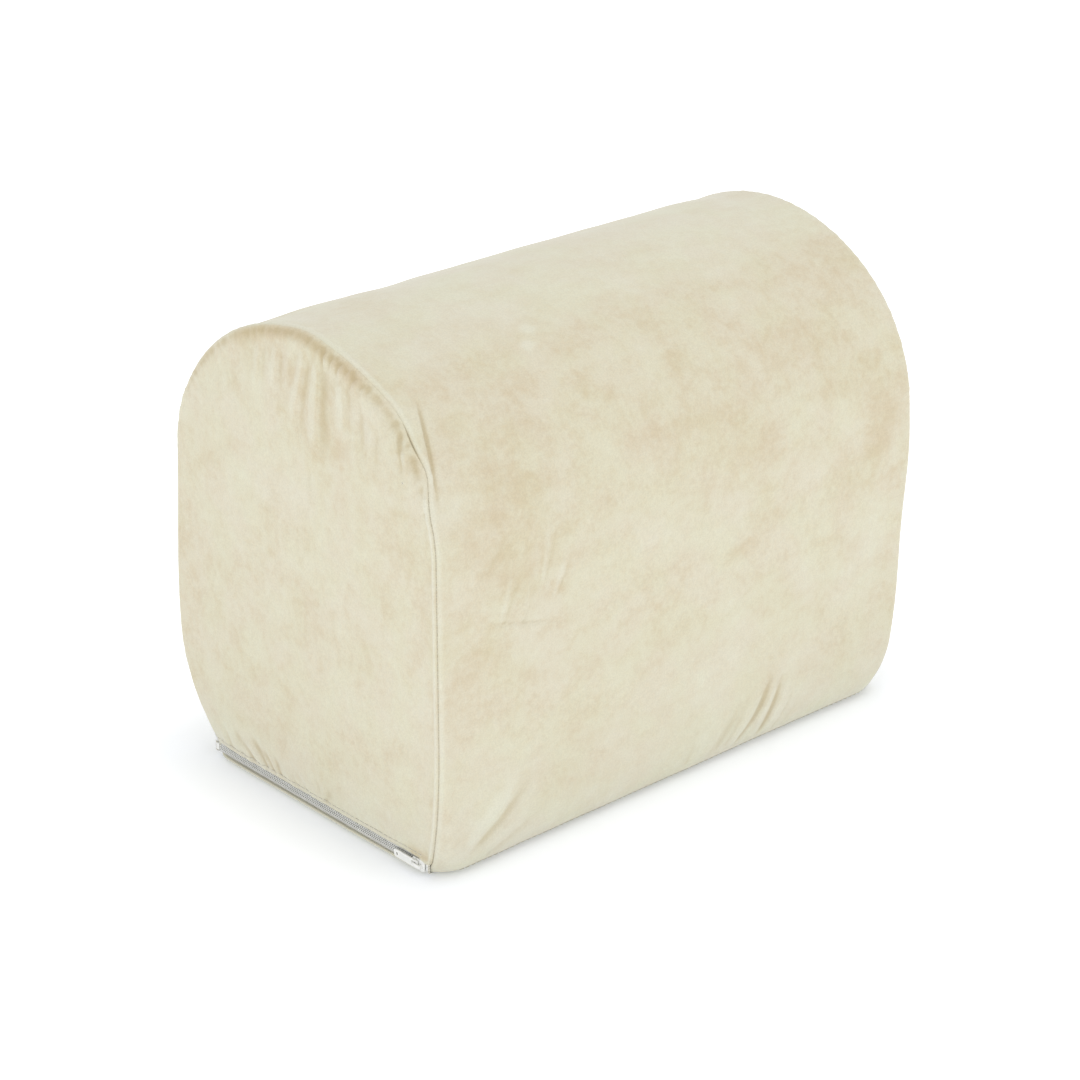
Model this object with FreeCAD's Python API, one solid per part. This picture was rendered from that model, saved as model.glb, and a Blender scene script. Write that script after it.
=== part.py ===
import FreeCAD, Part
import math
import os

from FreeCAD import Vector

# Lumbar support cushion: a D-profile foam block in a zipped velour cover.
# +X runs along the dome, +Y across it and +Z up. The origin is the middle of the flat base.
# All sizes are in millimetres.

# Driving dimensions of the whole cushion
LENGTH = 356.0
DEPTH = 225.0
HEIGHT = 284.0
DOME_RISE = 94.0            # height of the half-ellipse above the straight sides
CORNER_RADIUS = 5.0         # upright corners, seen from above
CORNER_ROUND_TOP = 85.0     # below this height the corners grow rounder
CORNER_BASE_RADIUS = 38.0   # at the base
SIDE_ROUND_Y = 13.5         # a quarter ellipse where a long side turns under to the base
SIDE_ROUND_Z = 37.0

# The ends are drawn in towards the base by the cover's tension.
DRAW_IN = 4.0
DRAW_IN_TOP = 34.0          # an arc from this height down to the next
DRAW_IN_FOOT = 10.0
END_BASE_RADIUS = 3.0

# Soft layers
CLOTH = 1.5
LINER_GAP = 0.4
LINER_CLOTH = 0.8
SEAM_FROM_END = 3.0         # the arch seams' distance from each end
BASE_SEAM_HEIGHT = 2.3
BASE_SEAM_X_GAP = 14.0      # from each end of the cushion to the ends of the long base seams
BASE_SEAM_Y_GAP = 20.0      # from each side to the ends of the short one

# Seam thread
STITCH_PITCH = 4.0
STITCH_LENGTH = 3.2
THREAD = 0.5
FIRST_STITCH_Z = 17.0       # the arch seams' lowest stitches

# Coil zip along the bottom edge of the -X end, standing upright in the YZ plane
ZIP_GAP_TOP = 9.7           # the end panel's hem
ZIP_HALF_LENGTH = DEPTH / 2 - 17.0
ZIP_X = -LENGTH / 2 + 5.95  # mid-plane of the tapes
ZIP_Z = 6.2                 # where the two coils meet
ZIP_ROOM = 0.5              # between the zip and the liner behind it
TAPE_THICKNESS = 0.6
TAPE_END_GAP = 0.2          # from the tapes' ends to the ends of the slot
TAPE_TOP = 20.0
TAPE_TOP_X = -LENGTH / 2 + 3.2      # the upper tape leans out behind the end panel
TAPE_BEND_Z = ZIP_GAP_TOP + 0.7
TAPE_INNER_X = -LENGTH / 2 + 16.0   # the lower tape runs inwards along the base
COIL_WIDTH = 2.0            # each row, across the zip
COIL_GAP = 0.1              # from the middle of the zip to each row
COIL_THICKNESS = 2.2
COIL_ROUNDING = 0.6
STOP_LENGTH = 1.3
BOTTOM_STOP_LENGTH = 2.5
BAR_TACK_WIDTH = 1.0
BAR_TACK_GAP = 0.4          # from the tacks to the slot's upper and lower edges

# Topstitching through the cover and the tapes
UPPER_STITCH_X = -LENGTH / 2 + 3.6
UPPER_STITCH_Z = 13.0
UPPER_STITCH_DEPTH = 3.4
LOWER_STITCH_X = -LENGTH / 2 + 10.5
LOWER_STITCH_DEPTH = 2.0

# Slider
SLIDER_LENGTH = 9.5
SLIDER_WIDTH = 6.4
SLIDER_CHANNEL = 2.6        # gap between its two plates
SLIDER_PLATE = 0.9
SLIDER_CORNER = 1.4
SLIDER_LIP = 0.7
SLIDER_TAPE_SLOT = 1.4
SLIDER_POST_SETBACK = 0.6
SLIDER_POST_LENGTH = 2.8
SLIDER_POST_WIDTH = 1.6
BRIDGE_HALF_LENGTH = 3.3
BRIDGE_BAR = 0.8
BRIDGE_WIDTH = 1.6
BRIDGE_OPENING = 1.5        # room under the bridge for the pull's pin
SLIDER_CLEARANCE = 0.3

# Pull tab
PULL_LENGTH = 19.0
PULL_WIDTH = 4.6
PULL_THICKNESS = 0.9
PULL_TIP_RADIUS = 2.0
PULL_HEEL_RADIUS = 0.43     # just under half the thickness, so a narrow flat is left
PULL_WINDOW_WIDTH = 2.2
PULL_WINDOW_LENGTH = 4.4
PULL_HOLE_RADIUS = 0.8
PULL_HOLE_FROM_TIP = 2.6

# Care label, blank, sewn flat inside the rear of the cover
LABEL_WIDTH = 25.0
LABEL_HEIGHT = 40.0
LABEL_THICKNESS = 0.25
LABEL_X = 110.0
LABEL_BASE = SIDE_ROUND_Z

SPRING_LINE = HEIGHT - DOME_RISE
REACH = 400.0               # longer than any side of the cushion, for cutting blocks
SPARE = 1.0                 # how far a cutting block runs past what it cuts


def box(low, high):
    """A block between two opposite corners."""
    size = [h - l for l, h in zip(low, high)]
    return Part.makeBox(size[0], size[1], size[2], Vector(*low))


def strip(points, start, end):
    """A prism along Y whose section is a closed polygon of (x, z) points."""
    corners = [Vector(x, start, z) for x, z in points]
    outline = Part.makePolygon(corners + corners[:1])
    return Part.Face(outline).extrude(Vector(0, end - start, 0))


def uprights(block):
    """A block's four edges along Z."""
    return [e for e in block.Edges if abs(e.tangentAt(e.FirstParameter).z) > 0.5]


def tidy(shape):
    """The shape with faces that lie on one surface joined."""
    return shape.removeSplitter()


# ---------------------------------------------------------------- cushion body

def arch_prism(inset):
    """The D profile, seen along X, drawn the length of the cushion."""
    half = DEPTH / 2 - inset
    flat = DEPTH / 2 - SIDE_ROUND_Y
    rise = DOME_RISE - inset
    start = -LENGTH / 2 + inset

    def at(y, z):
        return Vector(start, y, z)

    edges = [Part.makeLine(at(-flat, inset), at(flat, inset))]
    for side in (1, -1):
        upright = at(side * half, SIDE_ROUND_Z)
        turn = Part.Ellipse(at(side * flat, inset), upright, at(side * flat, SIDE_ROUND_Z))
        edges.append(Part.Arc(turn, 0, math.pi / 2).toShape())
        edges.append(Part.makeLine(upright, at(side * half, SPRING_LINE)))
    dome = Part.Ellipse(at(half, SPRING_LINE), at(0, SPRING_LINE + rise), at(0, SPRING_LINE))
    edges.append(Part.Arc(dome, 0, math.pi).toShape())
    edges = Part.__sortEdges__(edges)
    return Part.Face(Part.Wire(edges)).extrude(Vector(LENGTH - 2 * inset, 0, 0))


def side_view_prism(inset):
    """The outline seen along Y, with both ends drawn in towards the base."""
    end = LENGTH / 2 - inset
    drop = DRAW_IN_TOP - DRAW_IN_FOOT
    outer_bend = (drop ** 2 + DRAW_IN ** 2) / (2 * DRAW_IN)
    bend = outer_bend - inset
    centre = LENGTH / 2 - outer_bend
    foot = centre + math.sqrt(bend ** 2 - drop ** 2)
    half_turn = math.asin(drop / bend) / 2
    radius = END_BASE_RADIUS - inset
    corner = radius * (1 - math.sqrt(0.5))
    top = HEIGHT + DEPTH

    def at(x, z):
        return Vector(x, -DEPTH, z)

    def half_outline(side):
        middle_x = centre + bend * math.cos(half_turn)
        middle = at(side * middle_x, DRAW_IN_TOP - bend * math.sin(half_turn))
        edges = []
        if radius > 0:
            edges.append(Part.Arc(
                at(side * (foot - radius), inset),
                at(side * (foot - corner), inset + corner),
                at(side * foot, inset + radius),
            ).toShape())
        edges.append(Part.makeLine(at(side * foot, inset + max(radius, 0)), at(side * foot, DRAW_IN_FOOT)))
        edges.append(Part.Arc(at(side * foot, DRAW_IN_FOOT), middle, at(side * end, DRAW_IN_TOP)).toShape())
        edges.append(Part.makeLine(at(side * end, DRAW_IN_TOP), at(side * end, top)))
        return edges

    base = foot - max(radius, 0)
    edges = half_outline(1) + half_outline(-1)
    edges.append(Part.makeLine(at(-base, inset), at(base, inset)))
    edges.append(Part.makeLine(at(-end, top), at(end, top)))
    outline = Part.Wire(Part.__sortEdges__(edges))
    return Part.Face(outline).extrude(Vector(0, 2 * DEPTH, 0))


def plan_prism(inset):
    """The outline seen from above, a rectangle whose rounded corners grow towards the base."""
    x = LENGTH / 2 - inset
    y = DEPTH / 2 - inset
    radius = CORNER_RADIUS - inset
    upper = box((-x, -y, CORNER_ROUND_TOP), (x, y, HEIGHT + DEPTH))
    lower = box((-x, -y, 0), (x, y, CORNER_ROUND_TOP))
    upper = upper.makeFillet(radius, uprights(upper))
    lower = lower.makeFillet(CORNER_BASE_RADIUS - inset, radius, uprights(lower))
    return upper.fuse(lower)


def cushion_body(inset):
    """The cushion's outer shape, moved inwards by inset."""
    return arch_prism(inset).common(side_view_prism(inset)).common(plan_prism(inset))


def zip_relief(margin):
    """Room behind the zip for its tapes and slider, cut out of the liner and the foam."""
    outside = -REACH / 2
    floor = CLOTH + TAPE_THICKNESS + ZIP_ROOM
    slider_back = ZIP_X + SLIDER_CHANNEL / 2 + SLIDER_PLATE
    top = TAPE_TOP + SPARE
    points = [
        (outside, -REACH),
        (TAPE_INNER_X + ZIP_ROOM, -REACH),
        (TAPE_INNER_X + ZIP_ROOM, floor),
        (slider_back + ZIP_ROOM, TAPE_BEND_Z),
        (TAPE_TOP_X + TAPE_THICKNESS + ZIP_ROOM, top),
        (outside, top),
    ]
    return strip([(x + margin, z + margin) for x, z in points], -DEPTH, DEPTH)


def zip_gap():
    """The slot in the cover between the end panel's hem and the base panel."""
    return box(
        (-LENGTH / 2 - SPARE, -ZIP_HALF_LENGTH, BASE_SEAM_HEIGHT),
        (TAPE_INNER_X, ZIP_HALF_LENGTH, ZIP_GAP_TOP),
    )


def end_region(side):
    """The space that holds an end panel: side is -1 for the zip end and 1 for the plain end."""
    sheet = side * (LENGTH / 2 - SEAM_FROM_END)
    drawn_in = side * (LENGTH / 2 - SEAM_FROM_END - DRAW_IN)
    outside = side * (LENGTH / 2 + SPARE)
    half = DEPTH / 2 - SEAM_FROM_END
    upper = box(
        (min(sheet, outside), -DEPTH, BASE_SEAM_HEIGHT),
        (max(sheet, outside), DEPTH, HEIGHT + SPARE),
    )
    lower = box(
        (min(drawn_in, outside), -half, BASE_SEAM_HEIGHT),
        (max(drawn_in, outside), half, DRAW_IN_TOP),
    )
    return upper.fuse(lower)


def cover_panels():
    """The four cloth panels of the cover."""
    shell = cushion_body(0).cut(cushion_body(CLOTH))
    base_region = box((-REACH, -REACH, -SPARE), (REACH, REACH, BASE_SEAM_HEIGHT))
    zip_end = end_region(-1)
    plain_end = end_region(1)
    above_base = shell.cut(base_region)
    return {
        "base_panel": tidy(shell.common(base_region)),
        "end_panel_zip": tidy(above_base.common(zip_end).cut(zip_gap())),
        "end_panel_plain": tidy(above_base.common(plain_end)),
        "wrap_panel": tidy(above_base.cut(zip_end).cut(plain_end).cut(zip_gap())),
    }


def filling():
    """The foam block and the thin liner that is sewn round it."""
    liner_inset = CLOTH + LINER_GAP
    envelope = cushion_body(liner_inset).cut(zip_relief(0))
    foam = cushion_body(liner_inset + LINER_CLOTH).cut(zip_relief(LINER_CLOTH))
    return {
        "foam_core": tidy(foam),
        "inner_liner": tidy(envelope.cut(foam)),
    }


# ---------------------------------------------------------------- seams

def stitch(place, along, through, depth):
    """One stitch: a short bar of thread centred at place, laid along the seam."""
    bar = box(
        (-STITCH_LENGTH / 2, -THREAD / 2, -depth / 2),
        (STITCH_LENGTH / 2, THREAD / 2, depth / 2),
    )
    across = through.cross(along)
    turn = FreeCAD.Rotation(along, across, through, "XYZ")
    bar.Placement = FreeCAD.Placement(place, turn)
    return bar


def side_reach(z, inset):
    """Half the D profile's width at a height on one of its sides."""
    below = max(SIDE_ROUND_Z - z, 0) / (SIDE_ROUND_Z - inset)
    return DEPTH / 2 - SIDE_ROUND_Y + (SIDE_ROUND_Y - inset) * math.sqrt(1 - below ** 2)


def arch_line():
    """Closely spaced (y, z) points along an arch seam: up one side, over the dome and down the other."""
    middle = CLOTH / 2
    steps = 1000
    points = []
    for step in range(steps):
        z = FIRST_STITCH_Z + (SPRING_LINE - FIRST_STITCH_Z) * step / steps
        points.append((side_reach(z, middle), z))
    for step in range(steps + 1):
        angle = math.pi / 2 * step / steps
        y = (DEPTH / 2 - middle) * math.cos(angle)
        points.append((y, SPRING_LINE + (DOME_RISE - middle) * math.sin(angle)))
    return points + [(-y, z) for y, z in points[-2::-1]]


def arch_points():
    """Evenly spaced (y, z, tangent y, tangent z) places along an arch seam."""
    line = arch_line()
    places = []
    travelled = STITCH_PITCH / 2
    for last, here in zip(line, line[1:]):
        move = (here[0] - last[0], here[1] - last[1])
        length = math.hypot(*move)
        travelled += length
        if travelled >= STITCH_PITCH:
            travelled -= STITCH_PITCH
            places.append((here[0], here[1], move[0] / length, move[1] / length))
    return places


def arch_seam(side):
    """The lock-stitch thread between an end panel and the wrap panel."""
    x = side * (LENGTH / 2 - SEAM_FROM_END)
    stitches = []
    for y, z, run_y, run_z in arch_points():
        along = Vector(0, run_y, run_z)
        through = Vector(0, run_z, -run_y)
        stitches.append(stitch(Vector(x, y, z), along, through, THREAD))
    return Part.makeCompound(stitches)


def straight_seam(start, end, through, depth=THREAD):
    """A straight row of stitches between two points."""
    run = end - start
    along = Vector(run).normalize()
    count = math.floor(run.Length / STITCH_PITCH)
    first = (run.Length - (count - 1) * STITCH_PITCH) / 2
    stitches = []
    for index in range(count):
        place = start + along * (first + index * STITCH_PITCH)
        stitches.append(stitch(place, along, through, depth))
    return Part.makeCompound(stitches)


def base_seams():
    """The threads that join the base panel to the panels round it."""
    side_y = side_reach(BASE_SEAM_HEIGHT, CLOTH / 2)
    end_x = LENGTH / 2 - DRAW_IN - CLOTH / 2
    run_x = LENGTH / 2 - BASE_SEAM_X_GAP
    run_y = DEPTH / 2 - BASE_SEAM_Y_GAP

    def seam(start, end):
        places = [Vector(x, y, BASE_SEAM_HEIGHT) for x, y in (start, end)]
        return straight_seam(places[0], places[1], Vector(0, 0, 1))

    return {
        "base_seam_front": seam((-run_x, -side_y), (run_x, -side_y)),
        "base_seam_rear": seam((-run_x, side_y), (run_x, side_y)),
        "base_seam_plain_end": seam((end_x, -run_y), (end_x, run_y)),
    }


def zip_topstitches():
    """The two visible rows that hold the tapes to the cover, above and below the coils."""
    half = ZIP_HALF_LENGTH - STITCH_LENGTH / 2

    def row(x, z, through, depth):
        return straight_seam(Vector(x, -half, z), Vector(x, half, z), through, depth)

    return {
        "zip_topstitch_upper": row(UPPER_STITCH_X, UPPER_STITCH_Z, Vector(-1, 0, 0), UPPER_STITCH_DEPTH),
        "zip_topstitch_lower": row(
            LOWER_STITCH_X, LOWER_STITCH_DEPTH / 2, Vector(0, 0, 1), LOWER_STITCH_DEPTH),
    }


# ---------------------------------------------------------------- zip

SLIDER_FRONT = -ZIP_HALF_LENGTH + BAR_TACK_WIDTH + STOP_LENGTH + 3 * SLIDER_CLEARANCE
SLIDER_Y = SLIDER_FRONT + SLIDER_LENGTH / 2
COIL_START = SLIDER_Y - SLIDER_POST_WIDTH / 2
COIL_END = ZIP_HALF_LENGTH - BOTTOM_STOP_LENGTH - BAR_TACK_WIDTH - 2 * SLIDER_CLEARANCE
SLIDER_TRAVEL = COIL_END - SLIDER_CLEARANCE - SLIDER_LENGTH / 2 - SLIDER_Y
OUTER_PLATE_X = ZIP_X - SLIDER_CHANNEL / 2 - SLIDER_PLATE
PULL_X = OUTER_PLATE_X - BRIDGE_OPENING / 2


def zip_tapes():
    """The woven tapes, one behind the end panel's hem and one on the inside of the base panel.

    Their ends are trimmed by the cover's inner face, which turns in at the corners.
    """
    half = ZIP_HALF_LENGTH - TAPE_END_GAP
    outer = ZIP_X - TAPE_THICKNESS / 2
    inner = ZIP_X + TAPE_THICKNESS / 2
    upper = [
        (outer, ZIP_Z + COIL_WIDTH),
        (inner, ZIP_Z + COIL_WIDTH),
        (inner, TAPE_BEND_Z),
        (TAPE_TOP_X + TAPE_THICKNESS, TAPE_TOP),
        (TAPE_TOP_X, TAPE_TOP),
        (outer, TAPE_BEND_Z),
    ]
    turned_up = END_BASE_RADIUS + TAPE_THICKNESS / 4
    laid_flat = -LENGTH / 2 + DRAW_IN + END_BASE_RADIUS
    lower = [
        (outer, ZIP_Z - COIL_WIDTH),
        (outer, turned_up),
        (laid_flat, CLOTH),
        (TAPE_INNER_X, CLOTH),
        (TAPE_INNER_X, CLOTH + TAPE_THICKNESS),
        (laid_flat + TAPE_THICKNESS / 2, CLOTH + TAPE_THICKNESS),
        (inner, turned_up + TAPE_THICKNESS / 2),
        (inner, ZIP_Z - COIL_WIDTH),
    ]
    inside = cushion_body(CLOTH)
    return {
        "zip_tape_upper": strip(upper, -half, half).common(inside),
        "zip_tape_lower": strip(lower, -half, half).common(inside),
    }


def coil_row(side):
    """One nylon coil, as a bar of its outer shape: side is 1 for the upper row and -1 for the lower."""
    near = ZIP_Z + side * COIL_GAP
    far = ZIP_Z + side * COIL_WIDTH
    bar = box(
        (ZIP_X - COIL_THICKNESS / 2, COIL_START, min(near, far)),
        (ZIP_X + COIL_THICKNESS / 2, COIL_END, max(near, far)),
    )
    lengthwise = [e for e in bar.Edges if abs(e.tangentAt(e.FirstParameter).y) > 0.5]
    return bar.makeFillet(COIL_ROUNDING, lengthwise)


def zip_stops():
    """The two top stops at the closed end, and the bottom stop at the open end."""
    top = []
    top_end = SLIDER_FRONT - SLIDER_CLEARANCE
    for side in (-1, 1):
        near = ZIP_Z + side * COIL_GAP
        far = ZIP_Z + side * COIL_WIDTH
        top.append(box(
            (ZIP_X - COIL_THICKNESS / 2, top_end - STOP_LENGTH, min(near, far)),
            (ZIP_X + COIL_THICKNESS / 2, top_end, max(near, far)),
        ))
    bottom = box(
        (ZIP_X - SLIDER_CHANNEL / 2, COIL_END, ZIP_Z - COIL_WIDTH),
        (ZIP_X + SLIDER_CHANNEL / 2, COIL_END + BOTTOM_STOP_LENGTH, ZIP_Z + COIL_WIDTH),
    )
    return {
        "zip_top_stops": Part.makeCompound(top),
        "zip_bottom_stop": bottom,
    }


def zip_bar_tacks():
    """Dense stitching across both ends of the zip."""
    face = ZIP_X - TAPE_THICKNESS / 2
    tacks = []
    for side in (-1, 1):
        outer = side * (ZIP_HALF_LENGTH - SLIDER_CLEARANCE)
        inner = outer - side * BAR_TACK_WIDTH
        tacks.append(box(
            (face - TAPE_THICKNESS, min(inner, outer), BASE_SEAM_HEIGHT + BAR_TACK_GAP),
            (face, max(inner, outer), ZIP_GAP_TOP - BAR_TACK_GAP),
        ))
    return Part.makeCompound(tacks)


def bridge():
    """The arch on the slider's face that the pull's pin turns under, with the pin's axis across the zip."""
    underside = OUTER_PLATE_X - BRIDGE_OPENING
    outside = box(
        (underside - BRIDGE_BAR, SLIDER_Y - BRIDGE_HALF_LENGTH, ZIP_Z - BRIDGE_WIDTH / 2),
        (OUTER_PLATE_X, SLIDER_Y + BRIDGE_HALF_LENGTH, ZIP_Z + BRIDGE_WIDTH / 2),
    )
    crown = [
        e for e in outside.Edges
        if abs(e.tangentAt(e.FirstParameter).z) > 0.5 and e.CenterOfMass.x < underside
    ]
    rounded = outside.makeFillet(BRIDGE_BAR, crown)
    half_opening = BRIDGE_HALF_LENGTH - BRIDGE_BAR
    opening = box(
        (underside, SLIDER_Y - half_opening, ZIP_Z - BRIDGE_WIDTH),
        (OUTER_PLATE_X, SLIDER_Y + half_opening, ZIP_Z + BRIDGE_WIDTH),
    )
    return rounded.cut(opening)


def slider_plate(start, end):
    """One of the slider's two plates, with its corners rounded."""
    plate = box(
        (start, SLIDER_Y - SLIDER_LENGTH / 2, ZIP_Z - SLIDER_WIDTH / 2),
        (end, SLIDER_Y + SLIDER_LENGTH / 2, ZIP_Z + SLIDER_WIDTH / 2),
    )
    corners = [e for e in plate.Edges if abs(e.tangentAt(e.FirstParameter).x) > 0.5]
    return plate.makeFillet(SLIDER_CORNER, corners)


def zip_slider():
    """Two plates joined by a post at the closed end, with lips along their sides and a bridge on the face."""
    channel_low = ZIP_X - SLIDER_CHANNEL / 2
    channel_high = ZIP_X + SLIDER_CHANNEL / 2
    lip_depth = (SLIDER_CHANNEL - SLIDER_TAPE_SLOT) / 2
    post_start = SLIDER_Y - SLIDER_LENGTH / 2 + SLIDER_POST_SETBACK
    body = slider_plate(OUTER_PLATE_X, channel_low)
    body = body.fuse(slider_plate(channel_high, channel_high + SLIDER_PLATE))
    body = body.fuse(box(
        (channel_low, post_start, ZIP_Z - SLIDER_POST_WIDTH / 2),
        (channel_high, post_start + SLIDER_POST_LENGTH, ZIP_Z + SLIDER_POST_WIDTH / 2),
    ))
    lip_half = SLIDER_LENGTH / 2 - SLIDER_CORNER
    lips = ((channel_low, channel_low + lip_depth), (channel_high - lip_depth, channel_high))
    for side in (-1, 1):
        outer = ZIP_Z + side * SLIDER_WIDTH / 2
        inner = outer - side * SLIDER_LIP
        for low, high in lips:
            body = body.fuse(box(
                (low, SLIDER_Y - lip_half, min(inner, outer)),
                (high, SLIDER_Y + lip_half, max(inner, outer)),
            ))
    return tidy(body.fuse(bridge()))


def zip_pull():
    """A flat tab with a window round the bridge. It lies along the zip, pointing away from the corner."""
    low_x = PULL_X - PULL_THICKNESS / 2
    high_x = PULL_X + PULL_THICKNESS / 2
    tab = box(
        (low_x, SLIDER_Y - PULL_THICKNESS / 2, ZIP_Z - PULL_WIDTH / 2),
        (high_x, SLIDER_Y + PULL_LENGTH, ZIP_Z + PULL_WIDTH / 2),
    )
    tip = [
        e for e in tab.Edges
        if abs(e.tangentAt(e.FirstParameter).x) > 0.5 and e.CenterOfMass.y > SLIDER_Y + PULL_LENGTH / 2
    ]
    tab = tab.makeFillet(PULL_TIP_RADIUS, tip)
    window = box(
        (low_x - SPARE, SLIDER_Y + PULL_THICKNESS / 2, ZIP_Z - PULL_WINDOW_WIDTH / 2),
        (high_x + SPARE, SLIDER_Y + PULL_WINDOW_LENGTH, ZIP_Z + PULL_WINDOW_WIDTH / 2),
    )
    hole_start = Vector(low_x - SPARE, SLIDER_Y + PULL_LENGTH - PULL_HOLE_FROM_TIP, ZIP_Z)
    hole_length = PULL_THICKNESS + 2 * SPARE
    hole = Part.makeCylinder(PULL_HOLE_RADIUS, hole_length, hole_start, Vector(1, 0, 0))
    heel = [
        e for e in tab.Edges
        if abs(e.tangentAt(e.FirstParameter).z) > 0.5 and e.CenterOfMass.y < SLIDER_Y
    ]
    tab = tab.makeFillet(PULL_HEEL_RADIUS, heel)
    return tab.cut(window).cut(hole)


def care_label():
    """A blank woven label on the inner face of the cover's rear."""
    face = DEPTH / 2 - CLOTH
    gap = (LINER_GAP - LABEL_THICKNESS) / 2
    return box(
        (LABEL_X - LABEL_WIDTH / 2, face - gap - LABEL_THICKNESS, LABEL_BASE),
        (LABEL_X + LABEL_WIDTH / 2, face - gap, LABEL_BASE + LABEL_HEIGHT),
    )


def all_nodes():
    """Every sub-part of the cushion by its name."""
    nodes = {}
    nodes.update(cover_panels())
    nodes.update(filling())
    nodes["arch_seam_zip_end"] = arch_seam(-1)
    nodes["arch_seam_plain_end"] = arch_seam(1)
    nodes.update(base_seams())
    nodes.update(zip_topstitches())
    nodes.update(zip_tapes())
    nodes["zip_coil_upper"] = coil_row(1)
    nodes["zip_coil_lower"] = coil_row(-1)
    nodes.update(zip_stops())
    nodes["zip_bar_tacks"] = zip_bar_tacks()
    nodes["zip_slider"] = zip_slider()
    nodes["zip_pull"] = zip_pull()
    nodes["care_label"] = care_label()
    return nodes


os.makedirs("parts", exist_ok=True)
for name, shape in all_nodes().items():
    shape.exportStep(f"parts/{name}.step")
    bounds = shape.optimalBoundingBox()
    print(
        f"{name}: {len(shape.Solids)} solids, valid {shape.isValid()}, {shape.Volume:.1f} mm3,"
        f" x {bounds.XMin:.2f}..{bounds.XMax:.2f} y {bounds.YMin:.2f}..{bounds.YMax:.2f}"
        f" z {bounds.ZMin:.2f}..{bounds.ZMax:.2f}"
    )
print(f"slider travel {SLIDER_TRAVEL:.2f} mm, pull hinge at x {PULL_X:.3f}, y {SLIDER_Y:.3f}, z {ZIP_Z:.3f}")
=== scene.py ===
import math

import bmesh
import bpy
import numpy as np
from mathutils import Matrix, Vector, noise
from mathutils.bvhtree import BVHTree
from mathutils.kdtree import KDTree


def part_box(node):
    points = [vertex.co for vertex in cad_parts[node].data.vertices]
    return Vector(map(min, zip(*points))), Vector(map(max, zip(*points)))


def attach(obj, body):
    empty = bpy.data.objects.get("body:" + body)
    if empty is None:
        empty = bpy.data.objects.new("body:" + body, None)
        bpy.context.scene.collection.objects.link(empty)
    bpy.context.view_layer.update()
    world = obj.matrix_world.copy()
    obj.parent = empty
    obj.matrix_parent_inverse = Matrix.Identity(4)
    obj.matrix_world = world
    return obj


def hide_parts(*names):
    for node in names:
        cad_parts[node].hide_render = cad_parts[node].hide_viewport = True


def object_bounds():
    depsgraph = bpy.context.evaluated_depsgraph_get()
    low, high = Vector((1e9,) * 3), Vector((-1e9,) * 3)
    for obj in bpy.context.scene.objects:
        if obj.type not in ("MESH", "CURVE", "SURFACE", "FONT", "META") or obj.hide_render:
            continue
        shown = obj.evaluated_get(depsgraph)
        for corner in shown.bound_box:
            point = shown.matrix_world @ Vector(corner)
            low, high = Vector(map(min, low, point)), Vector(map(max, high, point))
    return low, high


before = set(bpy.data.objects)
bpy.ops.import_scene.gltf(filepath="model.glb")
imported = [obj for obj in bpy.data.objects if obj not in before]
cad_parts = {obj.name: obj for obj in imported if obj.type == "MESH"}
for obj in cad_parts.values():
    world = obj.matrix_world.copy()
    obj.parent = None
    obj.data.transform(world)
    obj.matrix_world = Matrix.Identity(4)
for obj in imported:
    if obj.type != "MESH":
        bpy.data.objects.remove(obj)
CAD_LOW, CAD_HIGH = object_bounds()
MM = 0.001

# ---------------- sizes, from the frame

_, WRAP_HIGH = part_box("wrap_panel")
END_LOW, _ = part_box("end_panel_zip")
BASE_LOW, BASE_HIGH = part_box("base_panel")
COIL_LOW, COIL_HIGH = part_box("zip_coil_upper")
LOWER_COIL_LOW, LOWER_COIL_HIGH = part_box("zip_coil_lower")
_, SLIDER_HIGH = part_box("zip_slider")
TAPE_LOW, TAPE_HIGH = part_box("zip_tape_upper")
_, LOWER_TAPE_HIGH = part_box("zip_tape_lower")
TACKS_LOW, TACKS_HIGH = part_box("zip_bar_tacks")
UPPER_STITCH_LOW, UPPER_STITCH_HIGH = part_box("zip_topstitch_upper")
LOWER_STITCH_LOW, LOWER_STITCH_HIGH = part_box("zip_topstitch_lower")
LABEL_LOW, LABEL_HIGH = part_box("care_label")

SIDE_CROWN = 1.4 * MM                   # how far the long sides swell in the middle
END_CROWN = 0.8 * MM
HALF_LENGTH = -END_LOW.x - END_CROWN
HALF_DEPTH = WRAP_HIGH.y - SIDE_CROWN
TOP = WRAP_HIGH.z - SIDE_CROWN / 2
BASE_SEAM_Z = BASE_HIGH.z
FOOT_X = BASE_HIGH.x                    # half length where the ends are drawn in at the base
ZIP_HALF = TACKS_HIGH.y
HEM_Z = SLIDER_HIGH.z + 0.3 * MM        # the zip end's lower edge clears the slider
MARGIN_LINER = 3.6 * MM                 # from the cover's base shape in to the liner
MARGIN_FOAM = 4.4 * MM                  # and in to the foam
DEEPEST = 2.4 * MM                      # no fold reaches deeper, so that the cover stays off the liner

# The cover's own shape
DOME_RISE = 0.331 * TOP
SPRING_Z = TOP - DOME_RISE
DOME_POWER = 1.94                       # 2 is an ellipse, less is more pointed
SIDE_ROUND_Y = 13.5 * MM                # how far the long sides turn under at the base
SIDE_ROUND_Z = 37 * MM
DRAW_IN_TOP = 34 * MM                   # the ends are drawn in below this height
DRAW_IN_FOOT = 10 * MM
CORNER_RADIUS = 3.6 * MM                # along the arch seams
BASE_CORNER_RADIUS = 21 * MM            # the upright corners are rounder towards the base
CORNER_BLEND_Z = 0.30 * TOP
PINCH_Z = 246 * MM                      # where the arch seam at the zip end is pulled in most
CLOTH = 1.0 * MM                        # the velour's thickness
LINING = 0.5 * MM                       # the liner's and the tapes' thickness

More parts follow.
